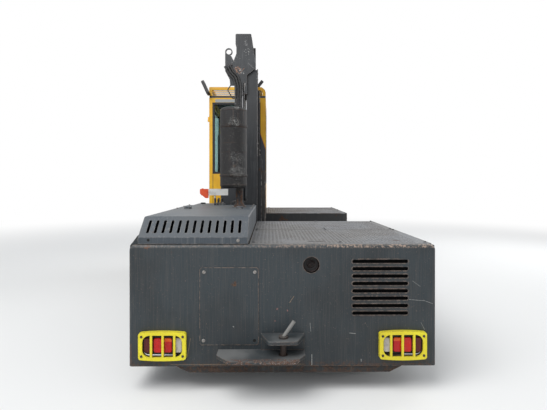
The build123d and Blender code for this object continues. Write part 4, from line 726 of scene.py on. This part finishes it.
def makeTyre():
    look = tyreLook
    half, around = look["width"] / 2, look["lugAround"] / 2
    bead, top = look["bead"], look["carcass"]
    flank = [  # radius, distance in from the tyre's side
        (bead, 0.024), (bead + 0.006, 0.012), (bead + 0.02, 0.008), (bead + 0.032, 0.01), (bead + 0.06, 0.002),
        (0.3, 0), (0.33, 0), (0.345, 0.001), (0.35, 0.005), (0.368, 0.006), (0.392, 0.014),
        (top - 0.002, 0.03), (top, 0.06),
    ]
    profile = [(r, inset - half) for r, inset in flank] + [(r, half - inset) for r, inset in reversed(flank)]
    carcass = turned("carcass", profile, (0, 0, 0), "X", 96, closed=True)
    lug = startCube("lug", (0.006, -around, top - 0.004), (half - 0.012, around, look["radius"] - 0.0005))
    pickOnly(lug)
    editMode()
    pickMesh()
    bpy.ops.mesh.subdivide(number_cuts=1)
    pickMesh("DESELECT")
    objectMode()
    for point in lug.data.vertices:
        out = point.co.x / half
        point.co.y += 0.03 * out  # the bars lean round the tyre towards the shoulder
        if point.co.z > top:
            point.co.y *= 0.94
            point.co.z -= (look["radius"] - top) * 1.3 * max(0.0, out - 0.62)
    soften(lug, 0.003)
    bars = []
    for index in range(look["lugs"]):
        bars.append(copyTo(lug, Matrix.Rotation(2 * pi * index / look["lugs"], 4, "X")))
        between = Matrix.Rotation(2 * pi * (index + 0.5) / look["lugs"], 4, "X")
        bars.append(copyTo(lug, between @ turnBy(180, "Z")))
    dropPiece(lug)
    return smooth(joinAll("tyrePattern", [carcass] + bars), 40)


tyrePattern = makeTyre()
for name, side, y in wheelPlaces:
    turn = turnBy(180 if side < 0 else 0, "Z")
    tyre = copyTo(tyrePattern, shift((side * wheelOut, y, wheelHigh)) @ turn, name + "Tread")
    finishPiece(tyre, "rubber", name + "_wheel")
    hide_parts(name + "_tyre")
dropPiece(tyrePattern)
print("tyres made")


# Bolts: one hexagon head with its washer, copied

def makeBolt(radius=boltSize, height=0.007):
    flange = [(core, 0), (radius * 1.45, 0), (radius * 1.45, 0.002), (radius * 1.35, 0.0026), (core, 0.0026)]
    washer = turned("washer", flange, (0, 0, 0), "Z", 20)
    head = soften(startTube("head", (0, 0, 0.0024), (0, 0, 0.0024 + height), radius, 6), radius * 0.12)
    return smooth(joinAll("boltPattern", [washer, head]), 30)


boltPattern = makeBolt()


def boltsAt(name, places, normal, look, size=boltSize, body="chassis"):
    turn = Vector(normal).to_track_quat("Z", "Y").to_matrix().to_4x4() @ Matrix.Scale(size / boltSize, 4)
    copies = [copyTo(boltPattern, shift(place) @ turn @ Matrix.Rotation(index * 0.7, 4, "Z"))
              for index, place in enumerate(places)]
    return finishPiece(joinAll(name, copies), look, body)


def boltGrid(name, across, along, up, *plan):  # a bolt at each X, Y and Z
    boltsAt(name, [(x, y, z) for x in across for y in along for z in up], *plan)


capProfile = [(core, 0.024), (0.018, 0.023), (0.027, 0.018), (0.03, 0.01), (0.031, 0.002), (0.038, 0.002),
              (0.038, -0.0005), (core, -0.0005)]
for name, side, y in wheelPlaces:
    body = name + "_wheel"
    hubFace = side * (wheelOut + 0.068)
    outer = hubFace + side * 0.0075
    ring = [(outer, y + 0.057 * cos(angle), wheelHigh + 0.057 * sin(angle))
            for angle in [radians(22.5 + index * 45) for index in range(8)]]
    boltsAt(name + "Nuts", ring, (side, 0, 0), "steel", 0.011, body)
    hubCap = turned(name + "HubCap", capProfile, (0, 0, 0), "X", 32)
    hubCap.data.transform(shift((hubFace, y, wheelHigh)) @ turnBy(0 if side > 0 else 180, "Z"))
    finishPiece(smooth(hubCap), "cast", body)
    stem = [(side * x, y + back, wheelHigh) for x, back in ((0.95, 0.15), (0.972, 0.15), (0.985, 0.142))]
    finishPiece(smooth(bentTube(name + "Valve", stem, 0.0045)), "steel", body)

coverPlaces = [(x, rearFace - 0.0042, z) for x, z in ((-0.563, 0.866), (-0.2, 0.866), (-0.566, 0.378))]
boltsAt("coverBolts", coverPlaces, (0, -1, 0), "zinc", 0.0085)
boltsAt("hoodFlangeBolt", [(-0.322, -2.1402, 1.088)], (0, -1, 0), "zinc", 0.0085, "hood")

guardTable = (  # middle X and Z of each lamp guard, its outer face, which way it looks
    (-0.855, 0.346, -2.1852, -1),
    (0.855, 0.346, -2.1852, -1),
    (-0.855, 0.64, 2.3652, 1),
    (0.795, 0.64, 2.3652, 1),
)
for index, (x, z, y, out) in enumerate(guardTable):
    corners = [(x + side * 0.146, y, z + up * 0.069) for side in (-1, 1) for up in (-1, 1)]
    boltsAt("guardBolts%d" % index, corners, (0, out, 0), "cast", 0.0095)

# empty bolt holes: shallow dishes painted near-black as the shade inside them
holes = []
for x, z, y, radius in ((-0.203, 0.378, rearFace - 0.0042, 0.01), (-0.966, 1.092, -2.1402, 0.009)):
    dish = [(core, 0), (radius * 0.8, 0), (radius, -0.0012), (radius * 1.1, -0.0008), (radius * 1.1, 0.001),
            (core, 0.001)]
    holes.append(turned("hole", dish, (x, y, z), "Y", 24))
finishPiece(joinAll("boltHoles", holes), "paintedHoleShade")
print("bolts made")

# Tail: slot vanes, the plug in its round hole

# vanes in the louvre slots, finished near-black as painted shade inside the slots
vanes = []
for height in [0.941 - 0.053 * index for index in range(8)]:
    vane = startCube("vane", (0.498, -2.1592, height - 0.0125), (0.897, -2.1578, height + 0.0125))
    for point in vane.data.vertices:
        if point.co.z < height:
            point.co.y += 0.0055  # each vane leans in at its foot
    vanes.append(soften(vane, 0.0004, 1))
finishPiece(joinAll("louvreVanes", vanes), "louvrePaintedShade")

plugAt = (0.204, -2.117, 0.915)
plugProfile = [(core, 0.01), (0.02, 0.012), (0.028, 0.009), (0.032, 0.002), (0.04, 0), (0.052, 0),
               (0.056, -0.004), (0.056, 0.014), (core, 0.014)]
# the plug fills its hole; its near-black paint is painted shade of the recess
plugInPaintedShade = turned("plugInPaintedShade", plugProfile, plugAt, "Y", 40)
ear = startCube("ear", (0.2, -2.12, 0.892), (0.208, -2.104, 0.938))
ears = [ear, copyTo(ear, about(plugAt, turnBy(62, "Y")))]
finishJoined("drainPlug", [plugInPaintedShade] + [soften(ear) for ear in ears], "plugInPaintedShade")


# Tread plate: short raised bars in two directions, one low bar arrayed

def treadBars(name, low, high, skip=()):  # skip: rectangles of low X, low Y, high X, high Y kept plain
    lattices = []
    pitch = 0.06
    for shiftX, shiftY, turn in ((0, 0, 45), (0.5, 0.5, 45), (0.5, 0, -45), (0, 0.5, -45)):
        bar = startCube("bar", (-0.013, -0.0035, 0), (0.013, 0.0035, 0.0018))
        for point in bar.data.vertices:
            if point.co.z > 0.001:
                point.co.x *= 0.72
                point.co.y *= 0.45
        corner = (low[0] + pitch * (0.3 + shiftX), low[1] + pitch * (0.3 + shiftY), deckTop - 0.0002)
        for move in (turnBy(turn, "Z"), shift(corner)):
            bar.data.transform(move)
        pickOnly(bar)
        for axis, step in enumerate(((pitch, 0, 0), (0, pitch, 0))):
            applyModifier(bar, "ARRAY", use_relative_offset=False, use_constant_offset=True,
                          constant_offset_displace=step, count=int((high[axis] - low[axis]) / pitch))
        lattices.append(bar)
    plate = joinAll(name, lattices)

    def outside(face):
        x, y = face.center.x, face.center.y
        over = x > high[0] - 0.02 or y > high[1] - 0.02
        return over or any(a < x < c and b < y < d for a, b, c, d in skip)

    selectFaces(plate, outside)
    bpy.ops.mesh.delete(type="FACE")
    objectMode()
    finishPiece(plate, "bars")


def flatten(piece, height, share):  # pressed flat towards a height
    piece.data.transform(about((0, 0, height), Matrix.Scale(share, 4, (0, 0, 1))))
    return piece


seamY = rearFace + 0.97
treadBars("rearTreadBars", (-0.236, -2.09), (1.08, -0.352),
          ((-0.3, seamY - 0.022, 1.2, seamY + 0.022), (1.02, -2.2, 1.2, -2.04), (0.02, -2.05, 0.3, -1.93)))
treadBars("frontTreadBars", (-0.134, 0.946), (1.036, 2.3))
bead = startTube("deckSeam", (-0.24, seamY, 1.059), (1.092, seamY, 1.059), 0.0042, 12)
finishPiece(smooth(flatten(bead, 1.059, 0.6)), "bars")
deckPlaces = [(x, y, 1.0602) for x in (-0.215, 0.43, 1.065) for y in (-2.04, seamY - 0.05, seamY + 0.05, -0.38)]
deckPlaces += [(x, y, 1.0602) for x in (-0.11, 1.01) for y in (0.975, 1.62, 2.275)]
boltsAt("deckBolts", deckPlaces, (0, 0, 1), "bars")
print("decks made")

# Hood and cowl: side latches, stem collar, bolts

x, z = -1.0405, 1.15
for name, y in (("hoodLatchRear", -1.85), ("hoodLatchFront", -1.3)):
    latch = [
        softCube("base", (x - 0.006, y - 0.018, z - 0.062), (x + 0.001, y + 0.018, z - 0.012), 0.003),
        softCube("hook", (x - 0.01, y - 0.02, z + 0.02), (x + 0.001, y + 0.02, z + 0.032), 0.003),
        bentTube("strap", [(x - 0.008, y, z - 0.04), (x - 0.02, y, z - 0.03), (x - 0.016, y, z),
                           (x - 0.016, y, z + 0.026), (x - 0.012, y, z + 0.036)], 0.008),
        soften(startTube("grip", (x - 0.016, y - 0.024, z + 0.036), (x - 0.016, y + 0.024, z + 0.036), 0.006, 16)),
    ]
    finishJoined(name, latch, "seal", "hood")
boltGrid("cowlBolts", (-1.01, -0.28), (-1.02, -0.7, -0.4), (1.2502,), (0, 0, 1), "zinc", 0.008)
stemX, stemY = -0.412, -0.8
collar = turned("stemCollar", [(0.0385, 0.0), (0.074, 0.0), (0.074, 0.006), (0.07, 0.008), (0.0385, 0.01)],
                (stemX, stemY, hoodTop - 0.0005), "Z", 40)
finishPiece(smooth(collar), "cast")
stemPlaces = [(stemX + 0.0665 * cos(turn), stemY + 0.0665 * sin(turn), 1.2575) for turn in (0.4, 1.97, 3.54, 5.11)]
boltsAt("stemBolts", stemPlaces, (0, 0, 1), "zinc", 0.006)

# Silencer: strap clamps with their bolts, weld seams, the pipe mouth with its rolled lip and a near-black disc
# inside it for soot and painted shade

canX = -0.472
clampRing = [(0.1405, -0.011), (0.1445, -0.01), (0.145, 0.0), (0.1445, 0.01), (0.1405, 0.011)]
weldRing = [(0.138, -0.004), (0.1408, -0.002), (0.1408, 0.002), (0.138, 0.004)]
trim = [turned("ring", profile, (canX, stemY, height), "Z", 64)
        for height, profile in ((1.58, clampRing), (2.09, clampRing), (1.482, weldRing), (2.248, weldRing))]
for height in (1.58, 2.09):
    for x in (canX - 0.013, canX + 0.013):
        low, high = (x - 0.003, -0.966, height - 0.011), (x + 0.003, -0.94, height + 0.011)
        trim.append(softCube("lug", low, high, 0.0015))
    trim.append(startTube("rod", (canX - 0.03, -0.955, height), (canX + 0.03, -0.955, height), 0.004, 12))
finishJoined("silencerClamps", trim, "silencer")
lip = [(0.0215, -0.06), (0.0215, 0), (0.0225, 0.003), (0.0255, 0.003), (0.027, 0), (0.027, -0.012),
       (0.0262, -0.014)]
finishPiece(smooth(turned("silencerMouth", lip, (-0.417, stemY, 2.376), "Z", 40)), "silencer")
# near-black disc just under the lip: soot, and painted shade down the pipe
sootAndShade = turned("silencerSootAndShade", [(core, 0.0), (0.012, 0.0004), (0.0214, 0.0012)], (-0.417, stemY, 2.3754), "Z", 32)
finishPiece(sootAndShade, "paintedHoleShade")

# Hydraulic tank: breather, sight tube, return pipes

breather = [(core, 0.017), (0.026, 0.016), (0.031, 0.013), (0.031, 0.007), (0.026, 0.005), (0.026, 0.003),
            (0.034, 0.002), (0.034, -0.002), (core, -0.002)]
finishPiece(smooth(turned("tankBreather", breather, (-0.9, -0.12, hoodTop), "Z", 36)), "trim")
sight = [startTube("glassTube", (-0.994, -0.16, 0.985), (-0.994, -0.16, 1.115), 0.007, 16)]
for height in (0.975, 1.125):
    sight.append(softCube("clip", (-1.003, -0.172, height - 0.012), (-0.989, -0.148, height + 0.012), 0.003))
finishJoined("sightTube", sight, "zinc")
for index, y in enumerate((-0.2, -0.15, -0.1)):
    x = -0.74 + 0.035 * index
    pipe = [(x, y, 1.249), (x, y, 1.3), (x + 0.005, y - 0.03, 1.318), (x + 0.012, -0.3, 1.318),
            (x + 0.015, -0.355, 1.3), (x + 0.015, -0.372, 1.252)]
    finishPiece(smooth(bentTube("tankPipe%d" % index, pipe, 0.009)), "hose")
    union = [(0.009, 0.022), (0.013, 0.02), (0.014, 0.012), (0.017, 0.01), (0.017, -0.001), (0.009, -0.001)]
    finishPiece(turned("tankUnion%d" % index, union, (x, y, hoodTop), "Z", 6), "zinc")
print("hood and tanks made")

# Leaf chains in place of the plain bands, over turned sheaves

chainLook = dict(pitch=0.0254, height=0.018, plate=0.0032, thickness=0.012)


def chainRun(name, places):  # places: a point and the way the chain runs there
    look = chainLook
    link = startTube("link", (0, -look["plate"] / 2, 0), (0, look["plate"] / 2, 0), look["height"] / 2, 8)
    for point in link.data.vertices:  # a round plate drawn out along the chain
        point.co.z *= 1.55
        point.co.x *= look["thickness"] / look["height"]
    pin = startTube("pin", (0, -0.0125, 0), (0, 0.0125, 0), 0.0036, 6)
    copies = []
    for index, (point, turn) in enumerate(places):
        stand = shift(point) @ Matrix.Rotation(turn, 4, "Y")
        rows = (-0.0105, -0.0035, 0.0035, 0.0105) if index % 2 else (-0.007, 0.0, 0.007)
        copies += [copyTo(link, stand @ shift((0, row, 0))) for row in rows]
        copies.append(copyTo(pin, stand @ shift((0, 0, look["pitch"] / 4))))
    dropPiece(link)
    dropPiece(pin)
    return joinAll(name, copies)


sheaveX, sheaveZ, bandRadius = -0.36, 3.000, 0.084
step = chainLook["pitch"] / 2
turns = int(pi * bandRadius / step)
groove = [(0.013, -0.0235), (0.089, -0.0235), (0.0895, -0.0195), (0.078, -0.0175), (0.078, 0.0175),
          (0.0895, 0.0195), (0.089, 0.0235), (0.05, 0.0235), (0.046, 0.015), (0.03, 0.015), (0.026, 0.026),
          (0.013, 0.026)]
for index, y in enumerate((-0.02, 0.614)):
    places = []
    for x, foot in ((sheaveX - bandRadius, 2.012), (sheaveX + bandRadius, 1.552)):
        places += [((x, y, foot + step * count), 0) for count in range(int((sheaveZ - foot) / step))]
    for angle in [pi * count / turns for count in range(turns + 1)]:
        places.append(((sheaveX + bandRadius * cos(angle), y, sheaveZ + bandRadius * sin(angle)), -angle))
    chain = finishPiece(chainRun("leafChain%d" % index, places), "chain", "inner")
    sheave = turned("sheave%d" % index, groove, (sheaveX, y, sheaveZ), "Y", 56, closed=True)
    finishPiece(smooth(sheave), "cast", "inner")
    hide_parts("lift_chains")
    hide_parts("lift_chains")
print("chains made")

# Mast: hose ferrules, the hoses' stay with its clips, glands of the lift barrels

hoseX = -0.463
ferrule = [(core, -0.002), (0.012, -0.002), (0.012, 0.004), (0.0155, 0.006), (0.0155, 0.044), (0.0135, 0.048),
           (0.0132, 0.05)]
ferrules = [turned("ferrule", ferrule, (hoseX + 0.027 * row, -0.3035, 2.1975), "Z", 20) for row in (-1, 0, 1)]
finishJoined("hoseFerrules", ferrules, "zinc", "inner")
clips = [softCube("stay", (hoseX - 0.015, -0.2898, 2.215), (hoseX + 0.015, -0.2848, 2.64), 0.0015)]
for height in (2.245, 2.42):
    for x in (hoseX - 0.0265, hoseX + 0.0265):
        low, high = (x - 0.0165, -0.3185, height - 0.01), (x + 0.0165, -0.285, height + 0.01)
        clips.append(softCube("clip", low, high, 0.004))
finishJoined("hoseStay", clips, "mast", "inner")
gland = [(0.0225, 0.014), (0.026, 0.016), (0.034, 0.015), (0.04, 0.01), (0.0405, -0.004), (0.0225, -0.004)]
glands = [turned("gland", gland, (-0.42, y, 2.34), "Z", 40) for y in (-0.204, 0.798)]
finishJoined("barrelGlands", glands, "zinc", "outer")
boltGrid("mastBolts", (-0.2405,), (-0.205, 0.8), (0.36, 0.44, 1.91, 1.97, 2.73, 2.8), (1, 0, 0), "zinc",
         boltSize, "outer")
boltGrid("rightRearBolts", (1.1002,), (-2.06, -0.4), (0.36, 0.98), (1, 0, 0), "cast")
boltGrid("rightFrontBolts", (1.0402,), (0.985, 2.27), (0.42, 0.98), (1, 0, 0), "cast")
boltGrid("leftBolts", (-1.1002,), (-2.06, -0.4, 0.985, 2.29), (0.42, 0.9), (-1, 0, 0), "cast")

# Step: a gripping plate with round buttons on the box's floor

button = [(0.0085, -0.001), (0.0085, 0.0015), (0.006, 0.0035), (0.0042, 0.0025), (core, 0.001)]
buttons = [softCube("plate", (-1.086, 2.088, 0.4802), (-0.96, 2.242, 0.485), 0.002)]
buttons += [turned("button", button, (-1.064 + 0.041 * row, 2.108 + 0.038 * column, 0.4848), "Z", 12)
            for row in range(3) for column in range(4)]
finishJoined("stepPlate", buttons, "bars")


# Cab: window seals, wiper, door handle, grab rail, dash, rockers and pedals

def openFrame(name, low, high, axis, at, width=0.034, depth=0.007):  # ring in the plane across axis, at that place
    clearSelection()
    bpy.ops.mesh.primitive_plane_add(size=1)
    ring = fresh(name)
    ring.scale = (high[0] - low[0], high[1] - low[1], 1)
    settle(ring)
    selectFaces(ring, lambda face: True)
    bpy.ops.mesh.inset(thickness=width, depth=0)
    bpy.ops.mesh.delete(type="FACE")
    objectMode()
    applyModifier(ring, "SOLIDIFY", thickness=depth, offset=0)
    soften(ring, depth * 0.25)
    across, up = (low[0] + high[0]) / 2, (low[1] + high[1]) / 2
    if axis == "Y":
        stand = shift((across, at, up)) @ turnBy(90, "X")
    else:
        stand = shift((at, across, up)) @ turnBy(90, "Z") @ turnBy(90, "X")
    ring.data.transform(stand)
    return ring


sealTable = (  # name, low and high across and up, which way it faces, where, what it rides on if not the chassis
    ("rearSeal", (-0.944, 1.636), (-0.231, 2.694), "Y", 0.9935),
    ("rearSealInside", (-0.944, 1.636), (-0.231, 2.694), "Y", 1.0275),
    ("frontSeal", (-0.944, 1.256), (-0.231, 2.694), "Y", 2.3035),
    ("rightSeal", (1.116, 1.496), (2.181, 2.694), "X", -0.1585),
    ("doorSeal", (1.172, 1.556), (2.148, 2.654), "X", -0.99, "door"),
)
for name, low, high, axis, at, *body in sealTable:
    finishPiece(openFrame(name, low, high, axis, at), "seal", *body)

wiper = smooth(joinAll("rearWiper", [
    turned("hub", [(core, 0.02), (0.014, 0.019), (0.017, 0.012), (0.017, 0), (core, 0)], (0, 0, 0), "Z", 24),
    bentTube("arm", [(0, 0, 0.014), (0.02, 0.1, 0.018), (0.05, 0.3, 0.012), (0.06, 0.36, 0.008)], 0.004),
    softCube("blade", (0.05, 0.16, 0.000), (0.06, 0.56, 0.008), 0.002),
]))
wiper.data.transform(shift((-0.5, 0.9895, 1.6)) @ turnBy(90, "X"))
finishPiece(wiper, "trim")
gripY = 2.17
gripLine = ((-1.024, 1.38), (-1.05, 1.385), (-1.052, 1.4), (-1.052, 1.52), (-1.05, 1.535), (-1.024, 1.54))
grip = bentTube("doorGrip", [(x, gripY, z) for x, z in gripLine], 0.008)
lock = turned("lock", [(core, 0.01), (0.012, 0.009), (0.015, 0.004), (0.015, -0.002), (core, -0.002)],
              (0, 0, 0), "X", 24)
lock.data.transform(shift((-1.026, gripY, 1.34)) @ turnBy(180, "Z"))
finishJoined("doorHandle", [grip, lock], "trim", "door")
rail = [(-0.975, 2.292, 1.25), (-1.01, 2.3, 1.255), (-1.012, 2.302, 1.28), (-1.012, 2.302, 1.9),
        (-1.01, 2.3, 1.925), (-0.975, 2.292, 1.93)]
finishPiece(smooth(bentTube("grabRail", rail, 0.011)), "trim")

gauges = []
for x, radius in ((-0.84, 0.038), (-0.75, 0.03), (-0.48, 0.03)):
    dial = [(core, 0.003), (radius * 0.82, 0.003), (radius * 0.86, 0.009), (radius, 0.008), (radius, -0.001),
            (core, -0.001)]
    gauges.append(turned("gauge", dial, (x, 2.15, 1.2505), "Z", 32))
finishJoined("dashGauges", gauges, "clearLens")
keys = []
for x, y in [(-0.325 + 0.026 * column, 1.96 + 0.045 * row) for row in range(2) for column in range(5)]:
    key = startCube("key", (x - 0.009, y - 0.015, 1.5995), (x + 0.009, y + 0.015, 1.606))
    for point in key.data.vertices:
        if point.co.z > 1.603 and point.co.y > y:
            point.co.z += 0.004  # rockers stand proud at one end
    keys.append(soften(key, 0.0015))
finishPiece(joinAll("consoleRockers", keys), "trim")
pedals = []
for x in (-0.74, -0.56):
    pad = softCube("pad", (x - 0.04, 2.02, 1.118), (x + 0.04, 2.032, 1.218), 0.004)
    pad.data.transform(about((x, 2.026, 1.118), turnBy(-28, "X")))
    pedals += [pad, startTube("stalk", (x, 2.03, 1.15), (x, 2.08, 1.11), 0.007, 12)]
finishJoined("pedals", pedals, "seal")
print("cab fitted")


# Seat: cushion and back blown up as cloth, then shell, welts and belt

def stuffed(name, low, high, rounding=0.03, most=0.022):
    shape = softCube(name, low, high, rounding, 4)
    pad = copyTo(shape, Matrix.Identity(4), name + "Stuffed")
    dropPiece(shape)
    pickOnly(pad)
    applyModifier(pad, "REMESH", mode="VOXEL", voxel_size=0.006)
    before = [point.co.copy() for point in pad.data.vertices]
    hold = pad.vertex_groups.new(name="hold")
    hold.add([point.index for point in pad.data.vertices if point.co.z < low[2] + 0.004], 1.0, "REPLACE")
    cloth = pad.modifiers.new("stuffing", "CLOTH").settings
    cloth.use_pressure = True
    cloth.uniform_pressure_force = 4
    cloth.effector_weights.gravity = 0
    cloth.vertex_group_mass = "hold"
    for moment in range(1, 21):
        bpy.context.scene.frame_set(moment)
    bpy.ops.object.modifier_apply(modifier="stuffing")
    for point, start in zip(pad.data.vertices, before):
        moved = point.co - start
        if moved.length > most:
            point.co = start + moved * (most / moved.length)
    applyModifier(pad, "SUBSURF", levels=1)
    return pad


for name, low, high in (("seatCushion", (-0.885, 1.225, 1.47), (-0.435, 1.645, 1.548)),
                        ("seatBack", (-0.88, 1.128, 1.56), (-0.44, 1.19, 2.265))):
    pad = finishPiece(smooth(stuffed(name, low, high), 60), "vinyl")
    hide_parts("cab_seat")
shell = softCube("seatShell", (-0.88, 1.112, 1.5), (-0.44, 1.136, 2.23), 0.01, 3)
pan = softCube("pan", (-0.89, 1.12, 1.45), (-0.43, 1.65, 1.474), 0.008, 3)
finishJoined("seatShell", [shell, pan], "trim")
weltLines = (((1.245, 1.566), (1.43, 1.572), (1.62, 1.564)), ((1.208, 1.6), (1.212, 1.9), (1.208, 2.23)))
welts = [bentTube("welt", [(x, y, z) for y, z in line], 0.0028, 8) for x in (-0.775, -0.545) for line in weltLines]
finishJoined("seatWelts", welts, "vinyl")
belt = [(-0.425, 1.2, 1.5), (-0.42, 1.26, 1.575), (-0.47, 1.33, 1.592), (-0.64, 1.345, 1.596)]
finishPiece(smooth(flatten(bentTube("seatBelt", belt, 0.012), 1.58, 0.25)), "webbing")
print("seat made")

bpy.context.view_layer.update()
dropPiece(boltPattern)
